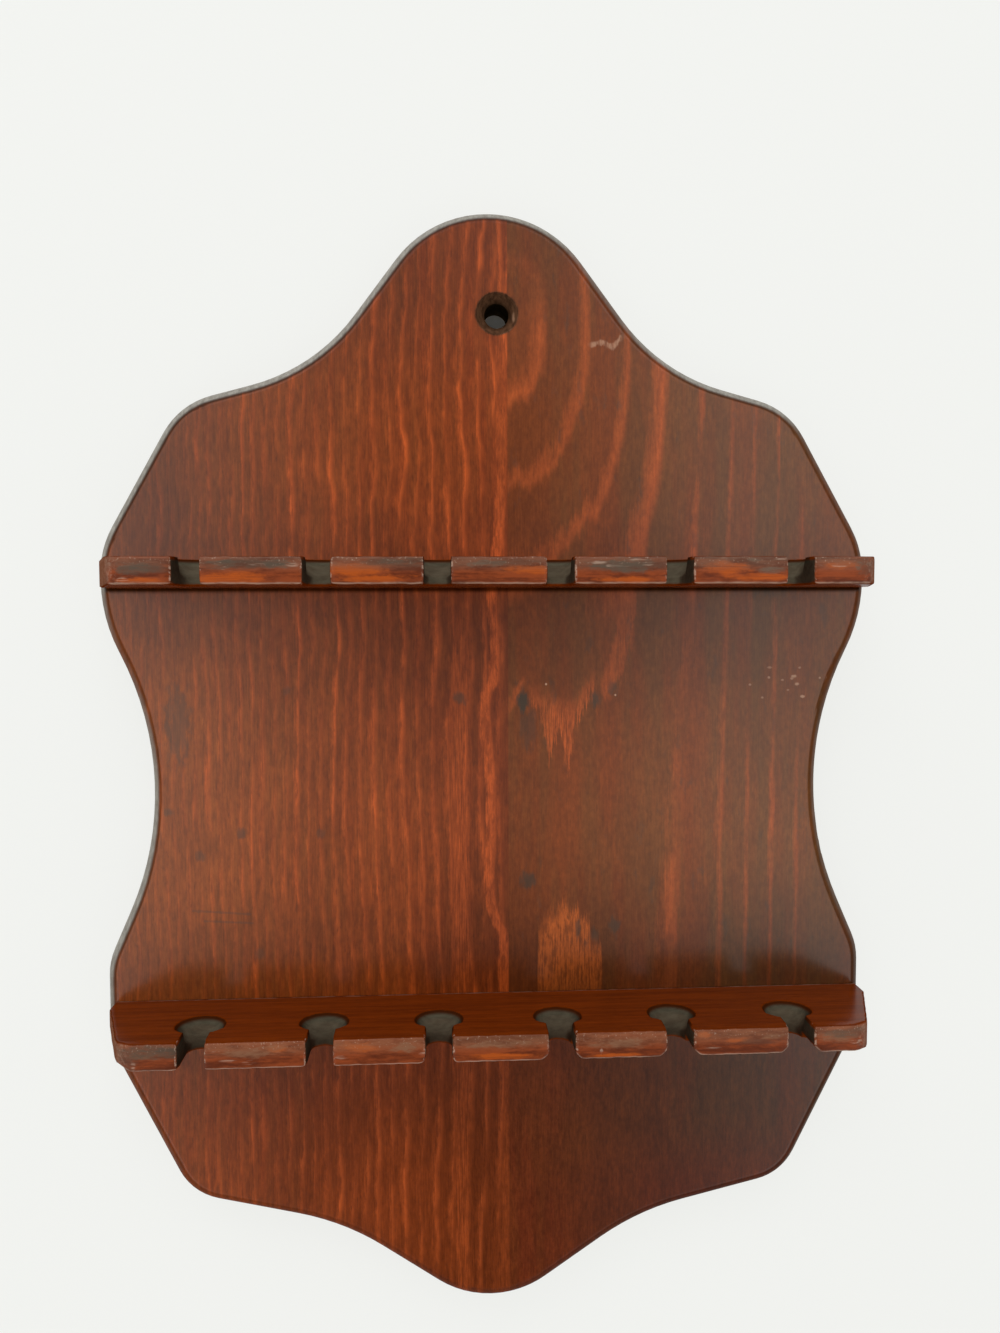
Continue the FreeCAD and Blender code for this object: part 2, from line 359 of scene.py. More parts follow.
class EffectShelf:
    """Makes each shared shader group once and hands it out."""

    VECTOR = "NodeSocketVector"
    VALUE = "NodeSocketFloat"
    FIBRES = {
        "Coarse": ((0.45, 0.45, 0.028), 3.0, 0.6),
        "Mottle": ((0.9, 0.9, 0.22), 4.0, 0.7),
        "Fine": ((2.6, 2.6, 0.11), 3.0, 0.6),
        "Ragged": ((0.7, 0.7, 0.25), 4.0, 0.65),
        "Pores": ((1.6, 1.6, 0.30), 2.0, 0.5),
    }
    PORE_STEP = (0.66, 0.76)
    TURNS = {"Rim": (0.002, 0.025), "Turned": (0.03, 0.16), "Side": (0.68, 0.96)}
    # Where the light falls from, up and to the left: edges facing it take dust and a painted highlight
    LIGHT_AND_DUST_FROM = (-0.45, 0.0, 0.9)
    RIGHTWARDS = (1.0, 0.0, 0.0)
    SEEN_FROM_FRONT = (1.0, 0.0, 1.0)
    RAGGED_REACH = 1.8
    SPOT_RIM = (1.0, 0.35)
    STROKE_RIM = (1.0, 0.3)
    LIT_STEP = (-0.1, 0.45)
    RIGHT_STEP = (0.3, 0.7, 0.0, 0.2)

    def __init__(self) -> None:
        """Starts with no group made."""
        self.made: dict[Effect, bpy.types.NodeTree] = {}

    def place(self, bench: NodeBench, effect: Effect, **values: Feed) -> bpy.types.Node:
        """Puts a shared group into a tree.

        Args:
            bench: where it goes.
            effect: which group.
            **values: what its inputs take, by input name.

        Returns:
            The group's node.
        """
        if effect not in self.made:
            builders = {
                Effect.FIBRES: self.fibres,
                Effect.EDGES: self.edges,
                Effect.SPOT: self.spot,
                Effect.STROKE: self.stroke,
            }
            self.made[effect] = builders[effect]()
        placed = bench.node("ShaderNodeGroup", node_tree=self.made[effect])
        for name, value in values.items():
            bench.feed(placed.inputs[name], value)
        return placed

    def start(
            self, effect: Effect, takes: dict[str, str],
            gives: Sequence[str]) -> tuple[NodeBench, dict[str, Socket], bpy.types.Node]:
        """Makes an empty group with its sockets.

        Args:
            effect: the group's name.
            takes: input names with their socket kinds.
            gives: names of the value outputs.

        Returns:
            The group's bench, its inputs by name and its output node.
        """
        tree = bpy.data.node_groups.new(effect.value, "ShaderNodeTree")
        for name, kind in takes.items():
            tree.interface.new_socket(name=name, in_out="INPUT", socket_type=kind)
        for name in gives:
            tree.interface.new_socket(name=name, in_out="OUTPUT", socket_type=self.VALUE)
        bench = NodeBench(tree)
        inputs = bench.node("NodeGroupInput")
        outputs = bench.node("NodeGroupOutput")
        return bench, {name: inputs.outputs[name] for name in takes}, outputs

    def fibres(self) -> bpy.types.NodeTree:
        """Wood fibre at several scales, with the grain along the place's Z, in millimetres.

        Returns:
            The group, with outputs Coarse, Mottle, Fine, Ragged and Pores from 0 to 1.
        """
        bench, takes, out = self.start(Effect.FIBRES, {"Place": self.VECTOR}, tuple(self.FIBRES))
        for name, (features, detail, rough) in self.FIBRES.items():
            noise = bench.stretched(takes["Place"], features, detail, rough)
            bench.feed(out.inputs[name], bench.span(noise, *self.PORE_STEP) if name == "Pores" else noise)
        return bench.tree

    def edges(self) -> bpy.types.NodeTree:
        """Where a surface turns away from its flat face.

        Returns:
            The group, with outputs from 0 to 1: Rim, Turned and Side by how far it turns, and Lit where it
            faces up or left and, weakly, right.
        """
        bench, takes, out = self.start(Effect.EDGES, {"Flat": self.VECTOR}, (*self.TURNS, "Lit"))
        normal = bench.coordinates("Normal")
        away = bench.without(bench.absolute(bench.dot(normal, takes["Flat"])))
        for name, step in self.TURNS.items():
            bench.feed(out.inputs[name], bench.span(away, *step))
        upwards = bench.span(bench.dot(normal, self.LIGHT_AND_DUST_FROM), *self.LIT_STEP)
        to_right = bench.span(bench.dot(normal, self.RIGHTWARDS), *self.RIGHT_STEP)
        bench.feed(out.inputs["Lit"], bench.largest(upwards, to_right))
        return bench.tree

    def spot(self) -> bpy.types.NodeTree:
        """Soft oval mark with a ragged rim.

        Returns:
            The group, with output Mask from 0 to 1.
        """
        kinds = {"Place": self.VECTOR, "Centre": self.VECTOR, "Size": self.VECTOR, "Ragged": self.VALUE}
        bench, takes, out = self.start(Effect.SPOT, kinds, ("Mask",))
        offset = bench.vector("SUBTRACT", takes["Place"], takes["Centre"])
        reach = bench.vector("LENGTH", bench.vector("DIVIDE", offset, takes["Size"]))
        reach = bench.add(reach, bench.times(bench.minus(takes["Ragged"], 0.5), self.RAGGED_REACH))
        bench.feed(out.inputs["Mask"], bench.span(reach, *self.SPOT_RIM))
        return bench.tree

    def stroke(self) -> bpy.types.NodeTree:
        """Thin straight mark between two points of a face that looks along Y.

        Returns:
            The group, with output Mask from 0 to 1.
        """
        kinds = {
            "Place": self.VECTOR, "Start": self.VECTOR, "End": self.VECTOR, "Width": self.VALUE,
            "Ragged": self.VALUE}
        bench, takes, out = self.start(Effect.STROKE, kinds, ("Mask",))
        run, reach = (
            bench.scaled(bench.vector("SUBTRACT", takes[name], takes["Start"]), self.SEEN_FROM_FRONT)
            for name in ("End", "Place"))
        share = bench.math("DIVIDE", bench.dot(reach, run), bench.dot(run, run), clamp=True)
        far = bench.over(bench.vector("DISTANCE", reach, bench.scaled(run, share)), takes["Width"])
        far = bench.add(far, bench.times(bench.minus(takes["Ragged"], 0.5), self.RAGGED_REACH))
        bench.feed(out.inputs["Mask"], bench.span(far, *self.STROKE_RIM))
        return bench.tree


SHELF = EffectShelf()


class Finish:
    """A material that is painted by nodes on object coordinates."""

    def __init__(self, name: str) -> None:
        """Starts a material with nothing but its shader.

        Args:
            name: the material's name.
        """
        self.material, self.bench = blank(name)
        self.shader = self.bench.node("ShaderNodeBsdfPrincipled")
        self.bench.close(self.shader.outputs[0])

    def place(self) -> Socket:
        """The surface's place in millimetres in the rack's frame."""
        return self.bench.scaled(self.bench.coordinates("Object"), (1.0 / MM,) * 3)

    def surface(self, colour: Feed, rough: Feed, relief: Feed, depth: float) -> None:
        """Feeds the shader.

        Args:
            colour: base colour.
            rough: roughness.
            relief: height from 0 to 1.
            depth: metres between the lowest and highest relief.
        """
        bump = self.bench.node("ShaderNodeBump")
        bump.inputs["Strength"].default_value = 1.0
        bump.inputs["Distance"].default_value = depth
        self.bench.feed(bump.inputs["Height"], relief)
        for name, value in (("Base Color", colour), ("Roughness", rough), ("Normal", bump.outputs[0])):
            self.bench.feed(self.shader.inputs[name], value)


@dataclass(frozen=True)
class GrowthRing:
    """One band of latewood, which takes little stain.

    Attributes:
        radius: millimetres from the heart of the grain to the sharp outer edge.
        width: millimetres across.
        strength: how clear it is, from 0 to 1.
    """

    radius: float
    width: float
    strength: float


@dataclass(frozen=True)
class Mark:
    """A spot on the board's face or a rail's front.

    Attributes:
        x: millimetres to the right of the hanging hole.
        z: millimetres above the hanging hole.
        wide: millimetres from the middle to the side.
        tall: millimetres from the middle to the top.
        strength: how clear it is, from 0 to 1.
    """

    x: float
    z: float
    wide: float
    tall: float
    strength: float = 1.0


class WoodFinish(Finish):
    """Stained pine under satin varnish, with the spots and strokes of use."""

    FACE_Y = BOARD_FACE
    SPOT_DEPTH = 4.0
    COAT_ROUGHNESS = 0.22
    COAT_IOR = 1.5

    def __init__(self, name: str) -> None:
        """Starts the material and reads the place on the surface.

        Args:
            name: the material's name.
        """
        super().__init__(name)
        self.at = self.place()
        self.x, self.y, self.z = self.bench.split(self.at)

    def grow(self, along: Socket) -> None:
        """Lays out the fibres.

        Args:
            along: the place, turned so that the grain runs along its Z.
        """
        fibres = SHELF.place(self.bench, Effect.FIBRES, Place=along).outputs
        self.coarse, self.mottle, self.fine = fibres["Coarse"], fibres["Mottle"], fibres["Fine"]
        self.ragged, self.pores = fibres["Ragged"], fibres["Pores"]

    def spots(self, marks: Sequence[Mark]) -> Socket:
        """Joint mask of several spots.

        Args:
            marks: the spots.

        Returns:
            The mask from 0 to 1.
        """
        masks: list[Feed] = [0.0]
        for mark in marks:
            spot = SHELF.place(
                self.bench, Effect.SPOT, Place=self.at, Ragged=self.ragged,
                Centre=(mark.x, self.FACE_Y, mark.z), Size=(mark.wide, self.SPOT_DEPTH, mark.tall))
            masks.append(self.bench.times(spot.outputs["Mask"], mark.strength))
        return self.bench.largest(*masks)

    def strokes(self, points: Sequence[tuple[float, float]], width: float) -> Socket:
        """Mask of a thin mark that runs through points of the face.

        Args:
            points: pairs of X and Z in millimetres.
            width: half the mark's width in millimetres.

        Returns:
            The mask from 0 to 1.
        """
        masks: list[Feed] = [0.0]
        for (x0, z0), (x1, z1) in zip(points, points[1:]):
            stroke = SHELF.place(
                self.bench, Effect.STROKE, Place=self.at, Ragged=self.ragged,
                Start=(x0, 0.0, z0), End=(x1, 0.0, z1), Width=width)
            masks.append(stroke.outputs["Mask"])
        return self.bench.largest(*masks)

    def shaded(self, colour: Socket, value: Feed) -> Socket:
        """Colour multiplied by one value."""
        return self.bench.mix(1.0, colour, self.bench.joined(value, value, value), "MULTIPLY")

    def swing(self, value: Socket, reach: float) -> Socket:
        """Noise turned into an offset of up to about half the reach either way."""
        return self.bench.times(self.bench.minus(value, 0.5), reach)

    def sway(self, **reaches: float) -> Socket:
        """Joint offset of several fibre noises, each given by its name with its reach."""
        return self.bench.add(*(self.swing(getattr(self, name), reach) for name, reach in reaches.items()))

    def varnished(self, weight: Feed) -> None:
        """Lays satin varnish over the stain, which has no shine of its own.

        Args:
            weight: how much varnish is left.
        """
        self.shader.inputs["Specular IOR Level"].default_value = 0.0
        self.bench.feed(self.shader.inputs["Coat Weight"], weight)
        self.shader.inputs["Coat Roughness"].default_value = self.COAT_ROUGHNESS
        self.shader.inputs["Coat IOR"].default_value = self.COAT_IOR


class PlankFinish(WoodFinish):
    """One plank of the board: upright grain, a dusty round edge with painted highlight, a hanging hole
    painted dark as shade.

    Here and in the other finishes a step is a pair of numbers, where an effect begins and where it is full,
    or four, with its values at both after them. Places are millimetres in the rack's frame. A noise is its
    features per millimetre along each axis, its detail and its roughness.
    """

    END_GRAIN = stain(48, 38, 32)
    # Pale grey of the edge's dust, which also serves as a painted highlight on edges facing the light
    DUST_AND_HIGHLIGHT = stain(168, 164, 156)
    COUNTERSINK = stain(80, 54, 38)
    # Near black of the bore: painted shade
    BORE_SHADE = stain(30, 22, 12)
    BARE = stain(206, 160, 130)
    INKY = stain(68, 58, 46)
    PORE = stain(58, 26, 10)
    FLAT = (0.0, 1.0, 0.0)
    HOLE_RADIUS = 5.5
    HOLE_RAGGED = 0.9
    HOLE_RIM = (HOLE_RADIUS + 0.5, HOLE_RADIUS - 0.2)
    HOLE_TONE = (0.6, 1.5)
    BORE_FROM = (BOARD_FACE + 1.2, BOARD_FACE + 3.0)
    BACK_FROM = (-2.5, -0.5)
    BACK_TONE = 1.1
    BACK_MATT = 0.8
    UNDER_RAIL = (UPPER_FOOT - 1.6, UPPER_FOOT - 0.4)
    BEHIND_RAIL = (UPPER_TOP + 0.5, UPPER_TOP - 1.5)
    AT_FACE = (BOARD_FACE + 1.0, BOARD_FACE + 0.3)
    CORNER_SHADE = 0.8
    RIM_MATT = 0.85
    RIM_TONE = 0.68
    RIM_SHARE = 0.9
    SIDE_CLEAN = 0.82
    DUST_SHARE = (0.55, 0.95)
    FINE_SWING = 0.17
    MOTTLE_SWING = 0.2
    SPECKLE_SWING = 0.09
    PORE_SHARE = 0.3
    TONE_RANGE = (0.0, 1.4)
    CLOUD = ((0.05, 0.05, 0.022), 4.0, 0.6)
    SPECKLE = ((1.0, 1.0, 0.5), 3.0, 0.7)
    FADE_NOISE = (1.0, 3.0, 0.6)
    SWING_RANGE = (0.27, 0.73)
    CLOUD_TONE = (0.28, 0.72, 0.88, 1.12)
    CLOUD_ROUGH = (0.25, 0.75, 0.40, 0.50)
    SCUFF_ROUGH = 0.3
    RELIEF_SHARES = {"fine": 0.4, "late": 0.5, "pores": -0.3}
    RELIEF = 0.00006

    def __init__(self, name: str) -> None:
        """Lays out what both planks share: fibres, edges, a slow cloud, fine specks and the plain back.

        Args:
            name: the material's name.
        """
        super().__init__(name)
        self.grow(self.at)
        edges = SHELF.place(self.bench, Effect.EDGES, Flat=self.FLAT).outputs
        self.rim, self.turned = edges["Rim"], edges["Turned"]
        self.side, self.lit = edges["Side"], edges["Lit"]
        self.cloud = self.bench.stretched(self.at, *self.CLOUD)
        self.speckle = self.bench.stretched(self.at, *self.SPECKLE)
        self.back = self.bench.span(self.y, *self.BACK_FROM)
        self.face = self.bench.without(self.back)

    def hole(self) -> Socket:
        """Mask of the countersink and the bore of the hanging hole.

        Returns:
            The mask from 0 to 1.
        """
        bench = self.bench
        away = bench.vector("LENGTH", bench.scaled(self.at, EffectShelf.SEEN_FROM_FRONT))
        reach = bench.add(away, self.swing(self.mottle, self.HOLE_RAGGED))
        return bench.span(reach, *self.HOLE_RIM)

    def edged(self, colour: Socket) -> Socket:
        """Darkens the rounded edge, lays dust and a painted highlight on its side that faces the light, and
        paints shade in the hole.

        Args:
            colour: the face's colour.

        Returns:
            The colour with edges.
        """
        bench = self.bench
        hole = self.hole()
        outside = bench.without(hole)
        self.bare = bench.largest(hole, bench.times(self.rim, self.RIM_MATT))
        stained = self.shaded(colour, self.RIM_TONE)
        band = bench.mix(bench.times(self.lit, bench.without(self.side)), stained, self.END_GRAIN)
        colour = bench.mix(bench.times(self.rim, outside, self.RIM_SHARE), colour, band)
        # Dust with a painted highlight, on the turned edge where it faces the light
        dust = bench.times(
            self.turned, bench.without(bench.times(self.side, self.SIDE_CLEAN)), self.lit, outside,
            bench.varied(self.mottle, *self.DUST_SHARE))
        colour = bench.mix(dust, colour, self.DUST_AND_HIGHLIGHT)
        # Painted shade in the hole: brown in the countersink, near black deeper in the bore
        inside = bench.mix(bench.span(self.y, *self.BORE_FROM), self.COUNTERSINK, self.BORE_SHADE)
        inside = self.shaded(inside, bench.varied(self.mottle, *self.HOLE_TONE))
        return bench.mix(hole, colour, inside)

    def finish(self, colour: Socket, late: Socket, tone: Socket, dark: Socket, pale: Feed = 0.0) -> None:
        """Puts fibres, marks, edges, a painted shadow under the upper rail and varnish over the grain.

        Args:
            colour: colour of the grain.
            late: mask of the orange latewood.
            tone: how light the plank is from place to place: its stain, with painted shade above the lower
                rail and, on the right plank, below it.
            dark: mask of dark spots.
            pale: mask of bare scuffs.
        """
        bench = self.bench
        dark, pale = bench.times(dark, self.face), bench.times(pale, self.face)
        tone = bench.add(bench.times(tone, self.face), bench.times(self.back, self.BACK_TONE))
        colour = self.shaded(colour, tone)
        swings = (
            (self.mottle, self.MOTTLE_SWING), (self.fine, self.FINE_SWING),
            (self.speckle, self.SPECKLE_SWING))
        for noise, swing in swings:
            colour = self.shaded(colour, bench.span(noise, *self.SWING_RANGE, 1.0 - swing, 1.0 + swing))
        colour = self.shaded(colour, bench.span(self.cloud, *self.CLOUD_TONE))
        colour = bench.mix(bench.times(self.pores, self.PORE_SHARE), colour, self.PORE)
        colour = bench.mix(dark, colour, self.INKY)
        # Painted shadow: a dark line on the board just below the upper rail, with no varnish there
        corner = bench.times(
            bench.span(self.z, *self.UNDER_RAIL), bench.span(self.z, *self.BEHIND_RAIL),
            bench.span(self.y, *self.AT_FACE))
        colour = self.shaded(colour, bench.without(bench.times(corner, self.CORNER_SHADE)))
        colour = self.edged(colour)
        self.bare = bench.largest(self.bare, corner, bench.times(self.back, self.BACK_MATT))
        colour = bench.mix(pale, colour, self.BARE)
        rough = bench.add(bench.span(self.cloud, *self.CLOUD_ROUGH), bench.times(pale, self.SCUFF_ROUGH))
        heights = {"fine": self.fine, "late": late, "pores": self.pores}
        relief = bench.add(
            *(bench.times(heights[layer], share) for layer, share in self.RELIEF_SHARES.items()))
        self.surface(colour, rough, relief, self.RELIEF)
        self.varnished(bench.without(self.bare))


class FlatSawnFinish(PlankFinish):
    """The right plank, whose growth rings run as nested arches from the hanging hole downwards."""

    OLIVE = stain(104, 60, 23)
    BROWN = stain(118, 55, 15)
    ORANGE = stain(174, 79, 28)
    FLAME = stain(186, 90, 28)
    RED = stain(128, 47, 14)
    FINE_SWING = 0.11
    MOTTLE_SWING = 0.11
    SPECKLE_SWING = 0.15
    PORE_SHARE = 0.05
    HEART = 2.0
    ARCH_SPREAD = 50.0
    REACH = 92.0
    DEPTH_SHARE = 0.8
    ARCH = ((-290.0, 52.0), (-200.0, 49.5), (-140.0, 47.0), (-117.0, 45.5), (-105.0, 43.5), (-97.0, 40.5),
            (-75.0, 34.0), (-60.0, 30.0), (-46.0, 22.4), (-39.0, 18.5), (-25.0, 11.5), (0.0, 2.0),
            (16.0, 10.6), (30.0, 17.0))
    RINGS = (
        GrowthRing(11.6, 6.0, 0.85), GrowthRing(22.8, 4.0, 0.7), GrowthRing(33.8, 3.2, 0.68),
        GrowthRing(43.8, 5.4, 0.84), GrowthRing(53.7, 2.2, 0.7), GrowthRing(61.5, 1.6, 0.5),
        GrowthRing(67.5, 1.5, 0.5), GrowthRing(73.8, 1.6, 0.54), GrowthRing(80.2, 1.5, 0.42),
    )
    ARCH_RANGE = (0.0, 75.0)
    RING_PEAK = 0.3
    RING_EDGE = 0.15
    STEEP_SMOOTH = (0.6, 0.95, 1.0, 0.5)
    FADE_FEATURES = (0.11, 0.03)
    FADE_SLICE = 3.7
    FADE_STEP = (0.40, 0.60, 0.12, 1.0)
    LAST_ARCH = 48.0
    WITHIN_LAST = (LAST_ARCH, LAST_ARCH - 2.5)
    BEYOND_LAST = (LAST_ARCH - 1.5, LAST_ARCH + 1.5)
    ABOVE_FOOT = (UPPER_FOOT - 10.0, UPPER_FOOT - 2.0)
    # Tone from foot to top: the stain's own tone, with painted shade just above the lower rail; below the
    # rail the darker tone is partly stain and partly painted shade
    TONE_AND_SHADE = (
        (-265.0, 0.5), (-232.0, 0.54), (-215.0, 0.57), (-198.0, 0.6), (-182.0, 0.58), (-170.0, 0.76),
        (-155.0, 1.06), (-130.0, 1.25), (-95.0, 1.16), (-60.0, 1.12), (-15.0, 1.08), (8.0, 0.86),
        (26.0, 0.8),
    )
    TONGUE_FEET = (
        (8.2, -100.6), (9.1, -102.2), (11.7, -105.6), (12.7, -110.2), (13.4, -120.9), (14.3, -114.2),
        (15.9, -110.2), (16.6, -107.6), (17.5, -113.6), (18.8, -121.6), (19.5, -114.2), (20.4, -107.6),
        (22.7, -103.6), (25.3, -99.6), (26.4, -96.6),
    )
    TONGUE_HEADS = (
        (8.2, -98.4), (11.1, -100.5), (14.3, -101.0), (17.5, -102.5), (20.8, -101.5), (22.7, -98.2),
        (26.4, -94.8),
    )
    LICKS = (
        ((-101.6, 29.0, 0.3), (-98.0, 29.3, 1.5), (-94.2, 30.8, 2.6), (-90.0, 32.2, 2.6),
         (-85.6, 33.3, 2.8), (-77.6, 34.6, 2.4), (-70.0, 36.4, 0.9)),
        ((-104.6, 2.9, 0.4), (-100.0, 4.6, 1.2), (-95.2, 6.9, 0.5)),
    )
    FLAME_HEADS = (
        (10.2, -182.0), (10.7, -163.0), (13.0, -160.2), (14.4, -157.3), (15.4, -158.5), (16.7, -155.9),
        (18.0, -154.6), (19.0, -157.0), (20.0, -157.9), (21.0, -156.3), (22.0, -158.6), (24.0, -158.9),
        (24.6, -161.0), (25.0, -166.4), (27.8, -166.4), (28.3, -182.0),
    )
    DARK_SPOTS = (
        Mark(6.6, -101.5, 2.2, 4.2, 0.9), Mark(8.2, -108.5, 3.4, 7.0, 0.45),
        Mark(7.7, -149.6, 3.2, 3.0, 0.7), Mark(26.0, -101.0, 1.6, 3.0, 0.7),
        Mark(30.8, -98.0, 2.2, 2.6, 0.5), Mark(31.3, -162.4, 2.0, 3.2, 0.6),
        Mark(21.5, -163.5, 0.9, 4.0, 0.6), Mark(26.0, -165.0, 1.6, 2.6, 0.5),
        Mark(74.0, -70.0, 14.0, 5.0, 0.4),
    )
    PALE_DOTS = (
        Mark(12.8, -96.9, 0.36, 0.36), Mark(31.4, -99.9, 0.38, 0.38), Mark(73.4, -92.8, 0.9, 0.4, 0.35),
        Mark(73.2, -95.5, 0.45, 0.4, 0.5), Mark(68.0, -97.4, 0.5, 0.4, 0.45),
        Mark(80.0, -95.2, 0.9, 0.5, 0.6), Mark(81.6, -92.9, 0.45, 0.4, 0.4),
        Mark(71.4, -100.9, 0.45, 0.4, 0.4), Mark(4.4, -0.8, 0.5, 2.0, 0.3),
        Mark(81.0, -97.3, 0.7, 0.5, 0.6), Mark(82.4, -100.7, 0.8, 0.5, 0.6),
        Mark(79.5, -95.8, 0.6, 0.4, 0.45), Mark(76.9, -96.2, 0.5, 0.35, 0.4),
        Mark(78.4, -98.9, 0.5, 0.35, 0.4), Mark(87.2, -95.7, 0.4, 0.4, 0.5),
    )
    SCUFF = ((24.5, -7.8), (27.9, -7.0), (30.3, -8.3), (33.0, -5.6))
    SCUFF_HALF = 0.95
    SCUFF_BROKEN = (0.38, 0.64, 0.08, 0.5)
    BELOW_LOWER_RAIL = (LOWER_TOP, LOWER_TOP - 18.0)
    DRIFT = ((0.11, 0.11, 0.012), 3.0, 0.6)
    OLIVE_DRIFT = (0.36, 0.64, 0.0, 0.8)
    OLIVE_SIDE = (15.0, 85.0, -0.25, 0.35)
    OLIVE_LOW = -0.35
    RED_DRIFT = (0.4, 0.62, 0.5, 1.0)
    RED_SIDE = (36.0, 3.0, 0.0, 0.7)
    RED_FOOT = (-212.0, -240.0, 0.0, 0.8)
    LIGHT_SIDE = (42.0, 3.0, 0.0, 0.3)
    DIM_SIDE = (40.0, 78.0, 1.0, 0.95)
    FLECKS = ((0.3, 0.3, 0.11), 4.0, 0.65)
    FLECK_STEP = (0.58, 0.74, 0.0, 0.34)
    FLECKED_FROM = (-185.0, -165.0)
    CLEAR_BELOW = (-138.0, -150.0)
    CLEAR_ABOVE = (-174.0, -164.0)
    RINGS_FROM = (-196.0, -176.0, 0.05, 1.0)
    CROWN_BELOW = (7.0, -7.0, 0.3, 1.0)
    CROWN_OUTSIDE = (14.0, 20.0)
    TONGUE_RANGE = (-130.0, -60.0)
    TONGUE_SIDES = ((8.0, 9.0), (26.4, 25.4))
    TONGUE_FOOT = (-0.8, 2.0)
    TONGUE_HEAD = (-3.0, 2.0)
    TONGUE_STREAKS = (0.34, 0.62, 0.2, 0.85)
    LICK_RANGES = ((-10.0, 60.0), (0.0, 6.0))
    LICK_SIDE = (-0.5, 0.9)
    LICK_END = 1.0
    LICK_STREAKS = (0.3, 0.6, 0.3, 0.66)
    FLAME_RANGE = (-190.0, -150.0)
    FLAME_SIDES = ((10.0, 10.8), (28.4, 27.6))
    FLAME_HEAD = (-0.8, 2.4)
    FLAME_STREAKS = (0.36, 0.58, 0.42, 1.0)
    FLAME_FROM = (-192.0, -172.0)

    def __init__(self) -> None:
        """Paints the arches, the tongues and flame of orange, the spots and the scuff."""
        super().__init__("flat_sawn_pine")
        bench = self.bench
        late = bench.largest(self.rings(), self.tongues(), *(self.lick(route) for route in self.LICKS))
        drift = bench.stretched(self.at, *self.DRIFT)
        low = bench.times(bench.span(self.z, *self.BELOW_LOWER_RAIL), self.face)
        olive = bench.add(
            bench.span(drift, *self.OLIVE_DRIFT), bench.span(self.x, *self.OLIVE_SIDE),
            bench.times(low, self.OLIVE_LOW))
        ground = bench.mix(bench.held(olive), self.BROWN, self.OLIVE)
        by_edge = bench.largest(bench.span(self.x, *self.RED_SIDE), bench.span(self.z, *self.RED_FOOT))
        reds = bench.times(low, by_edge, bench.span(drift, *self.RED_DRIFT))
        ground = bench.mix(reds, ground, self.RED)
        colour = bench.mix(self.flame(), bench.mix(late, ground, self.ORANGE), self.FLAME)
        by_glue = bench.times(low, bench.span(self.x, *self.LIGHT_SIDE))
        streaky = bench.times(low, self.sway(coarse=0.5, mottle=0.6))
        tone = bench.times(
            bench.curve(self.z, self.TONE_AND_SHADE, *self.TONE_RANGE), bench.span(self.x, *self.DIM_SIDE),
            bench.add(1.0, by_glue, streaky))
        broken = bench.span(self.mottle, *self.SCUFF_BROKEN)
        scuff = bench.times(self.strokes(self.SCUFF, self.SCUFF_HALF), broken)
        pale = bench.largest(self.spots(self.PALE_DOTS), scuff)
        flecks = bench.span(bench.stretched(self.at, *self.FLECKS), *self.FLECK_STEP)
        flecks = bench.times(flecks, bench.span(self.z, *self.FLECKED_FROM))
        dark = bench.largest(self.spots(self.DARK_SPOTS), flecks)
        self.finish(colour, late, tone, dark, pale)

    def rings(self) -> Socket:
        """Mask of the latewood bands.

        Returns:
            The mask from 0 to 1.
        """
        bench = self.bench
        across = bench.minus(self.x, self.HEART)
        out = bench.absolute(across)
        weight = bench.over(1.0, bench.add(1.0, bench.math("POWER", bench.over(out, self.ARCH_SPREAD), 3.0)))
        depth = bench.times(bench.minus(self.y, self.FACE_Y), self.DEPTH_SHARE)
        arch = bench.times(weight, bench.add(bench.curve(self.z, self.ARCH, *self.ARCH_RANGE), depth))
        radius = bench.math("SQRT", bench.add(bench.times(across, across), bench.times(arch, arch)))
        steep = bench.over(out, radius)
        ragged = bench.times(
            self.sway(coarse=4.4, mottle=2.2, fine=1.6), bench.span(steep, *self.STEEP_SMOOTH))
        place = bench.over(bench.add(radius, ragged), self.REACH)
        stops = []
        for ring in self.RINGS:
            stops.append(((ring.radius - ring.width) / self.REACH, 0.0))
            stops.append(((ring.radius - self.RING_PEAK * ring.width) / self.REACH, ring.strength))
            stops.append(((ring.radius + self.RING_EDGE) / self.REACH, 0.0))
        places = (bench.times(axis, share) for axis, share in zip((radius, self.z), self.FADE_FEATURES))
        along = bench.joined(*places, self.FADE_SLICE)
        fade = bench.largest(
            bench.span(bench.noise(along, *self.FADE_NOISE), *self.FADE_STEP),
            bench.times(bench.span(self.z, *self.CLEAR_BELOW), bench.span(self.z, *self.CLEAR_ABOVE)),
            bench.span(radius, *self.WITHIN_LAST))
        below = bench.largest(bench.span(self.z, *self.ABOVE_FOOT), bench.span(radius, *self.BEYOND_LAST))
        low = bench.span(self.z, *self.RINGS_FROM)
        crown = bench.largest(bench.span(self.z, *self.CROWN_BELOW), bench.span(radius, *self.CROWN_OUTSIDE))
        return bench.times(bench.ramp(place, stops), fade, below, low, crown)

    def between(self, sides: Sequence[tuple[float, float]]) -> Socket:
        """Mask of the strip between a left and a right side, on the front face alone."""
        return self.bench.times(*(self.bench.span(self.x, *side) for side in sides), self.face)

    def tongues(self) -> Socket:
        """Mask of the two streaky orange tongues that hang below the upper rail.

        Returns:
            The mask from 0 to 1.
        """
        bench = self.bench
        height = bench.add(self.z, self.sway(fine=16.0, mottle=12.0))
        feet = bench.curve(self.x, self.TONGUE_FEET, *self.TONGUE_RANGE, sharp=True)
        heads = bench.curve(self.x, self.TONGUE_HEADS, *self.TONGUE_RANGE)
        below = bench.span(bench.minus(height, feet), *self.TONGUE_FOOT)
        above = bench.span(bench.minus(heads, height), *self.TONGUE_HEAD)
        streaks = bench.span(bench.add(self.fine, self.sway(mottle=0.4)), *self.TONGUE_STREAKS)
        return bench.times(below, above, streaks, self.between(self.TONGUE_SIDES))

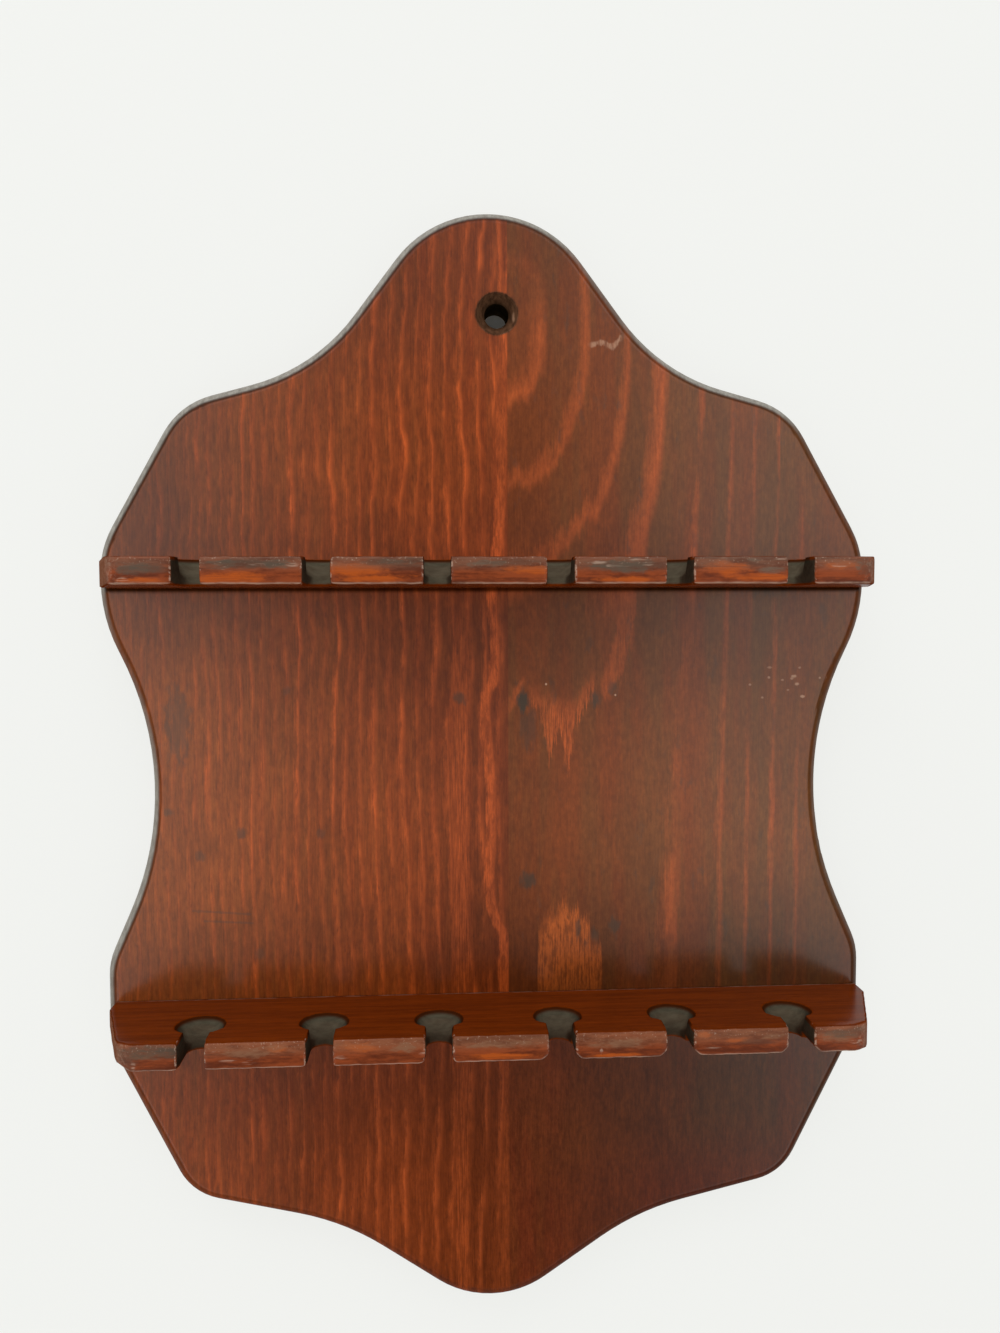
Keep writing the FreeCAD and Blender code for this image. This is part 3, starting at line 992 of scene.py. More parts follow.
    def lick(self, route: Sequence[tuple[float, float, float]]) -> Socket:
        """Mask of a ragged orange streak that climbs the face.

        Args:
            route: height, place across and half width in millimetres, from the foot up.

        Returns:
            The mask from 0 to 1.
        """
        bench = self.bench
        path, half = (
            bench.curve(self.z, [(step[0], step[part]) for step in route], *limits)
            for part, limits in enumerate(self.LICK_RANGES, 1))
        apart = bench.add(bench.absolute(bench.minus(self.x, path)), self.sway(fine=4.0, mottle=5.0))
        inside = bench.span(bench.minus(half, apart), *self.LICK_SIDE)
        low, high, fade = route[0][0], route[-1][0], self.LICK_END
        return bench.times(
            inside, bench.span(self.z, low - fade, low + fade), bench.span(self.z, high + fade, high - fade),
            self.face, bench.span(self.fine, *self.LICK_STREAKS))

    def flame(self) -> Socket:
        """Mask of the streaky orange arch above the lower rail.

        Returns:
            The mask from 0 to 1.
        """
        bench = self.bench
        height = bench.add(self.z, self.sway(fine=22.0, mottle=10.0))
        heads = bench.curve(self.x, self.FLAME_HEADS, *self.FLAME_RANGE, sharp=True)
        below = bench.span(bench.minus(heads, height), *self.FLAME_HEAD)
        streaks = bench.span(bench.add(self.mottle, self.sway(fine=0.8)), *self.FLAME_STREAKS)
        foot = bench.span(self.z, *self.FLAME_FROM)
        return bench.times(below, streaks, self.between(self.FLAME_SIDES), foot)


class QuarterSawnFinish(PlankFinish):
    """The left plank, whose growth rings run as close upright lines."""

    BROWN = stain(116, 57, 17)
    RED = stain(124, 51, 11)
    LINE = stain(192, 84, 28)
    SPACING_AT_GLUE = 4.3
    SPACING_GROWTH = 0.019
    # Tone from foot to top: the stain's own tone, with painted shade just above the lower rail
    TONE_AND_SHADE = ((-265.0, 0.98), (-215.0, 1.04), (-200.0, 1.02), (-181.0, 0.94), (-165.0, 1.14), (-140.0, 1.30),
            (-115.0, 1.32), (-90.0, 1.28), (-72.0, 1.21), (-30.0, 1.20), (-5.0, 0.97), (26.0, 0.84))
    STREAK = (
        (-265.0, 1.0), (-230.0, 1.8), (-200.0, 1.5), (-178.0, 1.4), (-167.0, 1.4), (-160.0, -0.7),
        (-149.4, -2.5), (-141.3, -2.2), (-127.8, -1.9), (-119.7, -2.2), (-111.7, -2.9), (-103.7, -3.4),
        (-98.9, -2.9), (-95.7, -1.0), (-85.0, -0.7), (-74.5, -1.5), (-60.0, 0.0), (-45.0, 1.0),
        (-30.0, 1.2), (-10.0, 1.0), (10.0, 1.0), (26.0, 0.3),
    )
    STREAK_CLEAR = ((-265.0, 0.3), (-206.0, 0.3), (-188.0, 1.0), (-58.0, 1.0), (-44.0, 0.5), (-14.0, 0.4),
                    (4.0, 0.65), (26.0, 0.65))
    DARK_SPOTS = (
        Mark(-84.0, -107.0, 4.5, 14.0, 0.5), Mark(-67.9, -135.7, 1.8, 2.0, 0.55),
        Mark(-47.0, -136.0, 1.6, 1.8, 0.4), Mark(-55.4, -98.2, 1.5, 1.6, 0.4),
        Mark(-10.1, -100.4, 2.2, 2.6, 0.6), Mark(-86.7, -129.8, 1.6, 1.6, 0.5),
        Mark(-78.7, -141.6, 1.8, 1.8, 0.45), Mark(-63.7, -167.9, 2.0, 2.0, 0.35),
    )
    SCRATCHES = (((-80.7, -156.2), (-65.9, -157.4)), ((-77.7, -159.0), (-65.4, -159.8)))
    SCRATCH_HALF = 0.45
    SCRATCH_SHARE = 0.35
    LINE_PROFILE = ((0.0, 0.06), (0.34, 0.0), (0.58, 0.35), (0.74, 1.0), (0.86, 0.5), (1.0, 0.06))
    LINE_FADE = (0.32, 0.66, 0.12, 1.0)
    LINE_OWN = (0.0, 1.0, 0.5, 1.1)
    LINE_APART = 7.3
    LINE_FEATURES = 0.045
    SLOW = ((0.016, 0.02, 0.013), 2.0, 0.5)
    WAVE = ((0.05, 0.05, 0.055), 2.0, 0.5)
    SLOW_REACH = 9.0
    CLEAR_SIDE = (-96.0, -20.0, 0.3, 0.88)
    BAND_MIDDLE = -10.0
    BAND_HALF = (3.6, 1.2)
    BAND_BELOW = (-72.0, -90.0)
    BAND_FINE = (0.25, 0.6)
    RED_SIDE = (-100.0, 0.0, -0.1, 0.8)
    RED_BELOW = (-178.0, -208.0, 0.0, 0.6)
    DIM_CORNER = ((-55.0, -92.0), (-78.0, -45.0))
    DIM_BY_GLUE = ((-32.0, -8.0), (-66.0, -80.0))
    LIGHT_OUTSIDE = ((-50.0, -82.0), (-80.0, -95.0))
    CORNER_LESS = 0.34
    GLUE_LESS = 0.26
    OUTSIDE_MORE = 0.15
    WAVY_ABOVE = (-80.0, -55.0, 2.2, 5.0)
    STREAK_RANGE = (-8.0, 8.0)
    STREAK_HALF = (1.9, 0.8)
    STREAK_MOTTLE = (0.3, 0.65, 0.55, 1.0)
    THINNER_ABOVE = (-14.0, 4.0, 0.0, 0.8)

    def __init__(self) -> None:
        """Paints the upright lines, the orange streak by the glue line, the stains and the scratches."""
        super().__init__("quarter_sawn_pine")
        bench = self.bench
        lines = bench.times(self.lines(), bench.span(self.x, *self.CLEAR_SIDE))
        off_band = bench.absolute(bench.add(self.x, -self.BAND_MIDDLE, self.sway(coarse=4.0)))
        band = bench.times(
            bench.span(off_band, *self.BAND_HALF), bench.span(self.z, *self.BAND_BELOW),
            bench.varied(self.fine, *self.BAND_FINE))
        late = bench.largest(lines, band, self.streak())
        reds = bench.add(
            bench.span(self.x, *self.RED_SIDE), self.sway(coarse=1.2), bench.span(self.z, *self.RED_BELOW))
        ground = bench.mix(bench.held(reds), self.BROWN, self.RED)
        colour = bench.mix(late, ground, self.LINE)
        corner, by_glue, outer = (
            bench.times(bench.span(self.x, *across), bench.span(self.z, *along))
            for across, along in (self.DIM_CORNER, self.DIM_BY_GLUE, self.LIGHT_OUTSIDE))
        less = bench.add(bench.times(corner, self.CORNER_LESS), bench.times(by_glue, self.GLUE_LESS))
        tone = bench.times(
            bench.curve(self.z, self.TONE_AND_SHADE, *self.TONE_RANGE),
            bench.add(bench.without(less), bench.times(outer, self.OUTSIDE_MORE)))
        scratches = (
            bench.times(self.strokes(points, self.SCRATCH_HALF), self.SCRATCH_SHARE)
            for points in self.SCRATCHES)
        self.finish(colour, late, tone, bench.largest(self.spots(self.DARK_SPOTS), *scratches))

    def lines(self) -> Socket:
        """Mask of the upright latewood lines, closer together away from the glue line.

        Returns:
            The mask from 0 to 1.
        """
        bench = self.bench
        slow = bench.stretched(self.at, *self.SLOW)
        wave = bench.stretched(self.at, *self.WAVE)
        ragged = bench.add(
            self.swing(slow, self.SLOW_REACH),
            bench.times(self.swing(wave, 1.0), bench.span(self.z, *self.WAVY_ABOVE)),
            self.sway(coarse=2.4, mottle=1.4, fine=0.8))
        spacing = bench.add(
            bench.times(bench.add(self.x, ragged), self.SPACING_GROWTH), self.SPACING_AT_GLUE)
        phase = bench.over(bench.math("LOGARITHM", spacing, math.e), self.SPACING_GROWTH)
        line = bench.ramp(bench.math("FRACT", phase), self.LINE_PROFILE)
        number = bench.math("FLOOR", phase)
        own = bench.node("ShaderNodeTexWhiteNoise", noise_dimensions="1D")
        bench.feed(own.inputs["W"], number)
        along = bench.joined(
            bench.times(number, self.LINE_APART), bench.times(self.z, self.LINE_FEATURES), 0.0)
        fade = bench.span(bench.noise(along, *self.FADE_NOISE), *self.LINE_FADE)
        return bench.times(line, fade, bench.span(own.outputs["Value"], *self.LINE_OWN))

    def streak(self) -> Socket:
        """Mask of the orange streak beside the glue line.

        Returns:
            The mask from 0 to 1.
        """
        bench = self.bench
        path = bench.curve(self.z, self.STREAK, *self.STREAK_RANGE)
        apart = bench.add(bench.minus(self.x, path), self.sway(fine=2.0, mottle=1.6))
        reach = bench.add(bench.absolute(apart), bench.span(self.z, *self.THINNER_ABOVE))
        return bench.times(
            bench.span(reach, *self.STREAK_HALF), bench.span(self.mottle, *self.STREAK_MOTTLE),
            bench.curve(self.z, self.STREAK_CLEAR, 0.0, 1.0, sharp=True))


@dataclass(frozen=True)
class RailWear:
    """Where a rail has worn, in millimetres in the rack's frame.

    Attributes:
        top: height of the rail's top.
        deep: painted light and shade at the foot of a notch, as its brightness against 1 at its top.
        grime: colour of the grime on its front, which a band along its top also takes as a painted sheen.
        dusty: patches of that grime.
        sooty: patches that are darker and greyer.
        orange: streaks of its front where the stain is bright.
        bare: chips of its front down to pale wood.
    """

    top: float
    deep: float
    grime: Colour
    dusty: tuple[Mark, ...]
    sooty: tuple[Mark, ...]
    orange: tuple[Mark, ...]
    bare: tuple[Mark, ...]


UPPER_WEAR = RailWear(
    top=UPPER_TOP,
    deep=1.1,
    grime=stain(108, 92, 78),
    dusty=(
        Mark(-86.0, -67.1, 5.8, 2.1), Mark(-65.6, -66.4, 5.7, 1.8), Mark(-53.3, -66.2, 5.6, 1.8),
        Mark(-25.0, -65.8, 5.8, 1.2), Mark(-4.7, -66.1, 6.6, 1.6), Mark(27.8, -66.6, 11.0, 2.2),
        Mark(60.1, -65.6, 4.0, 0.9), Mark(64.4, -67.7, 4.1, 1.2), Mark(85.7, -66.7, 1.7, 1.7),
    ),
    sooty=(
        Mark(-84.0, -67.6, 7.5, 1.9, 0.8), Mark(-60.0, -66.3, 12.0, 1.6, 0.8),
        Mark(-26.0, -65.8, 9.0, 1.2, 0.8), Mark(3.0, -66.0, 12.0, 1.0, 0.5),
        Mark(28.0, -66.8, 11.0, 2.2, 0.6), Mark(88.0, -67.5, 3.0, 2.4, 0.6),
    ),
    orange=(
        Mark(-83.9, -70.3, 7.5, 1.0), Mark(-64.5, -69.6, 10.0, 1.8), Mark(-36.0, -68.0, 9.5, 2.2),
        Mark(-30.0, -69.8, 11.0, 1.2), Mark(6.6, -67.8, 8.0, 1.5), Mark(30.0, -70.2, 10.0, 1.0),
        Mark(53.0, -67.2, 7.0, 2.0), Mark(62.0, -69.6, 9.0, 1.1), Mark(81.5, -66.6, 6.0, 1.4),
    ),
    bare=(
        Mark(-80.4, -64.6, 3.2, 0.2), Mark(-88.5, -70.2, 1.8, 0.9), Mark(-65.2, -67.4, 0.9, 0.5),
        Mark(-17.9, -71.0, 2.5, 0.4), Mark(7.4, -64.5, 3.0, 0.4), Mark(25.0, -66.8, 0.9, 0.4),
        Mark(34.2, -66.5, 1.8, 0.5), Mark(52.9, -65.2, 1.0, 0.4), Mark(66.8, -65.2, 2.0, 0.4),
        Mark(81.3, -66.9, 2.7, 0.3), Mark(22.5, -66.0, 2.5, 0.6), Mark(28.0, -66.9, 3.2, 0.6),
        Mark(31.5, -65.6, 2.6, 0.5), Mark(-58.0, -66.4, 2.6, 0.5), Mark(-49.5, -66.6, 2.2, 0.6),
    ),
)
LOWER_WEAR = RailWear(
    top=LOWER_TOP,
    deep=0.45,
    grime=stain(136, 96, 72),
    dusty=(
        Mark(-85.6, -182.0, 7.2, 1.8), Mark(-59.9, -182.2, 11.6, 1.9), Mark(-24.3, -182.3, 4.7, 1.5),
        Mark(-1.3, -182.1, 11.2, 1.5), Mark(28.7, -182.6, 10.9, 2.0), Mark(65.4, -182.1, 4.0, 1.4),
        Mark(82.9, -182.5, 5.9, 1.8),
    ),
    sooty=(
        Mark(-84.0, -181.6, 12.0, 2.0), Mark(-91.0, -183.5, 5.0, 4.0, 0.7),
        Mark(62.0, -183.4, 9.0, 1.2, 0.5), Mark(86.0, -181.8, 8.0, 1.6, 0.7),
    ),
    orange=(
        Mark(-54.9, -182.0, 3.3, 1.2), Mark(-35.5, -182.0, 5.8, 1.5), Mark(-1.2, -185.1, 10.8, 1.0),
        Mark(28.0, -185.8, 7.4, 0.8), Mark(48.7, -181.4, 2.0, 1.0), Mark(56.7, -182.8, 3.5, 0.8),
    ),
    bare=(
        Mark(-88.5, -185.0, 0.8, 1.5), Mark(-66.1, -184.3, 2.6, 0.5), Mark(-61.6, -184.9, 2.2, 0.6),
        Mark(-39.7, -184.3, 2.2, 0.7), Mark(-20.0, -184.0, 1.4, 0.5), Mark(23.4, -184.6, 0.5, 0.9),
        Mark(50.2, -184.6, 3.0, 0.5), Mark(69.7, -184.6, 0.5, 1.6), Mark(87.3, -184.0, 2.6, 0.7),
    ),
)


class RailFinish(WoodFinish):
    """Stained pine of a rail, with the grain along the rack, a worn front with a painted sheen, and dusty
    notches with painted shade.
    """

    FACE_Y = RAIL_FRONT
    DARK = stain(92, 35, 4)
    RED = stain(110, 44, 5)
    ORANGE = stain(178, 82, 28)
    MAROON = stain(98, 44, 24)
    RUSSET = stain(146, 68, 34)
    LIP_SHADE = stain(46, 23, 9)
    NOTCH = stain(80, 76, 63)
    SOOT = stain(78, 68, 58)
    WORN_END = stain(140, 100, 80)
    BARE = stain(196, 166, 146)
    MIDDLE = -1.4
    FRONT_HALF = 91.15
    FRONT_FROM = (RAIL_FRONT + 2.7, RAIL_FRONT + 1.1)
    ARRIS_FROM = (RAIL_FRONT + 2.7, RAIL_FRONT + 1.3)
    FOOT_FROM = (RAIL_FRONT + 2.1, RAIL_FRONT + 1.1)
    LIP_BEHIND = (RAIL_FRONT + 2.3, RAIL_FRONT + 4.7)
    SEAM_FROM = (BOARD_FACE - 0.9, BOARD_FACE - 0.4)
    ENDS_FROM = (-4.0, -1.5)
    SPECKS_WITHIN = (-3.0, -5.0, 0.25, 1.0)
    INSIDE_DEPTH = (0.4, 1.2)
    LIP_DEPTH = (2.0, 1.2)
    SHADE_DEPTH = (6.2, 2.0)
    GRIT_DEPTH = (3.0, 0.8)
    FRONT_TURN = (-0.15, -0.75)
    END_TURN = (0.45, 0.75)
    INSIDE_TURN = (-0.5, 0.0)
    LIP_TURN = (0.96, 0.8)
    FOOT_TURN = (-0.25, -0.6)
    FOOT_OUT = (-0.15, -0.5)
    ARRIS_TURNS = ((0.2, 0.45), (0.97, 0.85))
    # Painted shade on the notches' walls
    WALL_SHADE = (0.6, 0.9, 1.0, 0.4)
    LEVEL_COAT = (0.985, 0.999, 0.0, 0.35)
    FRONT_COAT = 0.2
    ORANGE_FINE = (0.5, 0.8, 0.0, 0.12)
    ORANGE_STREAKS = (0.25, 0.55, 0.45, 1.0)
    GRIME_AND_SHEEN_BAND = (4.4, 1.4, 0.0, 0.6)
    GRIME_PATCHES = (0.25, 0.65, 0.3, 0.9)
    END_SHARE = (0.35, 0.85)
    LIP_SHARE = 0.85
    DUST_TONE = (0.8, 1.2)
    DUST_SHARE = 0.9
    DUST_ROUGH = 0.3
    SEAM_SHARE = (0.4, 0.65, 0.02, 0.25)
    FOOT_SHARE = (0.3, 0.62, 0.12, 0.6)
    CHIP_SHARE = (0.42, 0.62, 0.0, 0.5)
    GRIT = (1.7, 2.0, 0.6)
    GRIT_SHARE = (0.6, 0.7, 0.0, 0.4)
    SPECKS = (1.1, 3.0, 0.65)
    SPECK_SHARE = (0.5, 0.62, 0.0, 0.6)
    ROUGH = (0.34, 0.46)
    FIBRE_RELIEF = 0.5
    BARE_RELIEF = -0.5
    RELIEF = 0.0001

    def __init__(self, name: str, wear: RailWear) -> None:
        """Paints the grain, the worn front and the dusty notches.

        Args:
            name: the material's name.
            wear: where the rail has worn.
        """
        super().__init__(name)
        bench = self.bench
        self.wear = wear
        self.grow(bench.joined(self.z, self.y, self.x))
        across, self.outwards, self.upwards = bench.split(bench.coordinates("Normal"))
        self.sideways = bench.absolute(across)
        self.front = bench.times(
            bench.span(self.outwards, *self.FRONT_TURN), bench.span(self.y, *self.FRONT_FROM))
        self.beyond = bench.minus(bench.absolute(bench.minus(self.x, self.MIDDLE)), self.FRONT_HALF)
        self.ends = bench.times(
            bench.span(self.beyond, *self.ENDS_FROM), bench.span(self.sideways, *self.END_TURN))
        self.behind = bench.times(bench.without(self.front), bench.without(self.ends))
        self.inside = bench.times(
            self.behind, self.below_top(*self.INSIDE_DEPTH), bench.span(self.upwards, *self.INSIDE_TURN))
        grain = bench.add(self.coarse, self.sway(mottle=0.5))
        colour = bench.mix(bench.varied(grain), self.DARK, self.RED)
        colour = bench.mix(bench.span(self.fine, *self.ORANGE_FINE), colour, self.ORANGE)
        colour = self.dusted_and_shaded(bench.mix(self.front, colour, self.worn_front()))
        bare = self.rubbed()
        colour = bench.mix(bare, colour, self.BARE)
        rough = bench.add(bench.varied(self.mottle, *self.ROUGH), bench.times(self.inside, self.DUST_ROUGH))
        relief = bench.add(
            bench.times(self.fine, self.FIBRE_RELIEF), bench.times(self.mottle, self.FIBRE_RELIEF),
            bench.times(bare, self.BARE_RELIEF))
        self.surface(colour, rough, relief, self.RELIEF)
        level = bench.span(bench.absolute(self.upwards), *self.LEVEL_COAT)
        coat = bench.largest(level, bench.times(self.front, self.FRONT_COAT))
        self.varnished(bench.times(bench.without(self.inside), coat))

    def below_top(self, start: float, end: float, to_start: float = 0.0, to_end: float = 1.0) -> Socket:
        """Smooth step between two depths below the rail's top, in millimetres."""
        return self.bench.span(self.z, self.wear.top - start, self.wear.top - end, to_start, to_end)

    def worn_front(self) -> Socket:
        """Colour of the rail's front.

        Returns:
            The colour.
        """
        bench, wear = self.bench, self.wear
        blotches = bench.add(self.coarse, self.sway(mottle=0.8))
        colour = bench.mix(bench.varied(blotches), self.MAROON, self.RUSSET)
        streaky = bench.span(self.fine, *self.ORANGE_STREAKS)
        colour = bench.mix(bench.times(self.spots(wear.orange), streaky), colour, self.ORANGE)
        # Grime patches, and a band along the top of the front that is partly grime and partly a painted sheen
        dusty = bench.largest(self.spots(wear.dusty), self.below_top(*self.GRIME_AND_SHEEN_BAND))
        patchy = bench.span(self.mottle, *self.GRIME_PATCHES)
        colour = bench.mix(bench.times(dusty, patchy), colour, wear.grime)
        return bench.mix(bench.times(self.spots(wear.sooty), patchy), colour, self.SOOT)

    def dusted_and_shaded(self, colour: Socket) -> Socket:
        """Wears the ends, paints shade on the notches' lips, lays dust in them with painted shade on their
        walls and painted light and shade towards their feet, and marks the seam at the board.

        Args:
            colour: the stained wood.

        Returns:
            The colour with dust.
        """
        bench = self.bench
        worn = bench.times(self.ends, bench.varied(self.mottle, *self.END_SHARE))
        colour = bench.mix(worn, colour, self.WORN_END)
        # Painted shade: a dark line along the lip of each seat
        lip = bench.times(
            self.behind, bench.span(self.upwards, *self.LIP_TURN), self.below_top(*self.LIP_DEPTH),
            bench.span(self.y, *self.LIP_BEHIND))
        colour = bench.mix(bench.times(lip, self.LIP_SHARE), colour, self.LIP_SHADE)
        # Notch dust with painted shade: darker on the walls and, by the rail's deep value, lighter or darker
        # towards the foot
        dust = bench.times(
            bench.varied(self.ragged, *self.DUST_TONE), bench.span(self.sideways, *self.WALL_SHADE),
            self.below_top(*self.SHADE_DEPTH, self.wear.deep, 1.0))
        dust = self.shaded(bench.joined(*self.NOTCH), dust)
        colour = bench.mix(bench.times(self.inside, self.DUST_SHARE), colour, dust)
        seam = bench.times(bench.span(self.y, *self.SEAM_FROM), bench.span(self.mottle, *self.SEAM_SHARE))
        return bench.mix(seam, colour, self.BARE)

    def rubbed(self) -> Socket:
        """Mask of the wood that is rubbed or chipped bare.

        Returns:
            The mask from 0 to 1.
        """
        bench = self.bench
        foot = bench.times(
            bench.span(self.upwards, *self.FOOT_TURN), bench.span(self.outwards, *self.FOOT_OUT),
            bench.span(self.y, *self.FOOT_FROM), bench.span(self.mottle, *self.FOOT_SHARE))
        chips = bench.times(self.spots(self.wear.bare), bench.span(self.fine, *self.CHIP_SHARE))
        grit = bench.span(bench.noise(self.at, *self.GRIT), *self.GRIT_SHARE)
        grit = bench.times(grit, self.below_top(*self.GRIT_DEPTH))
        arris = bench.times(
            *(bench.span(self.sideways, *turn) for turn in self.ARRIS_TURNS),
            bench.span(self.y, *self.ARRIS_FROM), bench.span(self.beyond, *self.SPECKS_WITHIN),
            bench.span(bench.noise(self.at, *self.SPECKS), *self.SPECK_SHARE))
        return bench.largest(foot, bench.times(self.front, bench.largest(chips, grit)), arris)


class ScrewFinish(Finish):
    """Bright steel of the screws, dulled in the recess."""

    STEEL = stain(170, 168, 162)
    RUST = stain(96, 70, 52)
    SPECKS = (0.8, 4.0, 0.65)
    RUST_STEP = (0.52, 0.70)
    ROUGH = (0.30, 0.55)
    RELIEF = 0.00004

    def __init__(self) -> None:
        """Paints turned steel with a little rust."""
        super().__init__("screw_steel_dull")
        bench = self.bench
        specks = bench.noise(self.place(), *self.SPECKS)
        colour = bench.mix(bench.span(specks, *self.RUST_STEP), self.STEEL, self.RUST)
        self.surface(colour, bench.varied(specks, *self.ROUGH), specks, self.RELIEF)
        self.shader.inputs["Metallic"].default_value = 1.0


class MeshBench:
    """The operators that shape a mesh, as a maker would use them."""

    SAME_PLACE = 1e-5

    @staticmethod
    def clear() -> None:
        """Leaves nothing selected."""
        if bpy.context.object and bpy.context.object.mode != "OBJECT":
            bpy.ops.object.mode_set(mode="OBJECT")
        bpy.ops.object.select_all(action="DESELECT")

    @staticmethod
    def take(*pieces: bpy.types.Object) -> None:
        """Selects these pieces alone, the last one active.

        Args:
            *pieces: what is selected.
        """
        MeshBench.clear()
        for piece in pieces:
            piece.select_set(True)
        bpy.context.view_layer.objects.active = pieces[-1]

    @staticmethod
    def settle(scale: Sequence[float] = (1.0, 1.0, 1.0)) -> bpy.types.Object:
        """Scales the active piece and puts its place into its mesh.

        Args:
            scale: factor along each axis.

        Returns:
            The piece.
        """
        made = bpy.context.object
        made.scale = scale
        bpy.ops.object.transform_apply(location=True, rotation=True, scale=True)
        return made

    @staticmethod
    def select(piece: bpy.types.Object, kind: str) -> None:
        """Takes a piece with none of its edges or faces selected, and sets which of them are picked.

        Args:
            piece: the piece.
            kind: EDGE or FACE.
        """
        MeshBench.take(piece)
        bpy.ops.object.mode_set(mode="EDIT")
        bpy.ops.mesh.select_mode(type=kind)
        bpy.ops.mesh.select_all(action="DESELECT")
        bpy.ops.object.mode_set(mode="OBJECT")

    @staticmethod
    def block(name: str, low: Sequence[float], high: Sequence[float]) -> bpy.types.Object:
        """Solid block between two corners, its place in its mesh.

        Args:
            name: the object's name.
            low: lowest corner.
            high: highest corner.

        Returns:
            The block.
        """
        MeshBench.clear()
        bpy.ops.mesh.primitive_cube_add(size=1.0, location=[(a + b) / 2 for a, b in zip(low, high)])
        made = MeshBench.settle([b - a for a, b in zip(low, high)])
        made.name = name
        return made

    @staticmethod
    def apply(piece: bpy.types.Object, kind: str, **settings: object) -> None:
        """Adds a modifier to a piece and applies it.

        Args:
            piece: what it works on.
            kind: the modifier's type.
            **settings: its properties.
        """
        MeshBench.take(piece)
        modifier = piece.modifiers.new(kind.lower(), kind)
        for name, value in settings.items():
            setattr(modifier, name, value)
        bpy.ops.object.modifier_apply(modifier=modifier.name)

    @staticmethod
    def slice(piece: bpy.types.Object, point: Sequence[float], away: Sequence[float]) -> None:
        """Cuts a piece along a plane and closes the cut.

        Args:
            piece: what is cut.
            point: a point of the plane.
            away: direction of the side that is taken off.
        """
        MeshBench.take(piece)
        bpy.ops.object.mode_set(mode="EDIT")
        bpy.ops.mesh.select_all(action="SELECT")
        bpy.ops.mesh.bisect(plane_co=point, plane_no=away, use_fill=True, clear_outer=True)
        bpy.ops.object.mode_set(mode="OBJECT")

    @staticmethod
    def round_upright(piece: bpy.types.Object, x: float, y: float, radius: float, segments: int) -> None:
        """Rounds the upright edge of a piece at a place.

        Args:
            piece: what is rounded.
            x: where the edge stands.
            y: where the edge stands.
            radius: metres along each side that the rounding takes.
            segments: facets of the rounding.
        """
        MeshBench.select(piece, "EDGE")
        corners = piece.data.vertices
        for edge in piece.data.edges:
            ends = [corners[index].co for index in edge.vertices]
            edge.select = all(math.hypot(end.x - x, end.y - y) < MeshBench.SAME_PLACE for end in ends)
        bpy.ops.object.mode_set(mode="EDIT")
        bpy.ops.mesh.bevel(offset=radius, segments=segments, affect="EDGES")
        bpy.ops.object.mode_set(mode="OBJECT")

    @staticmethod
    def copy(piece: bpy.types.Object, name: str, shift: Sequence[float]) -> bpy.types.Object:
        """Copies a piece with its own mesh and moves the copy.

        Args:
            piece: what is copied.
            name: the copy's name.
            shift: how far the copy moves.

        Returns:
            The copy.
        """
        MeshBench.take(piece)
        bpy.ops.object.duplicate(linked=False)
        made = bpy.context.object
        made.name = name
        made.location = shift
        return MeshBench.settle()


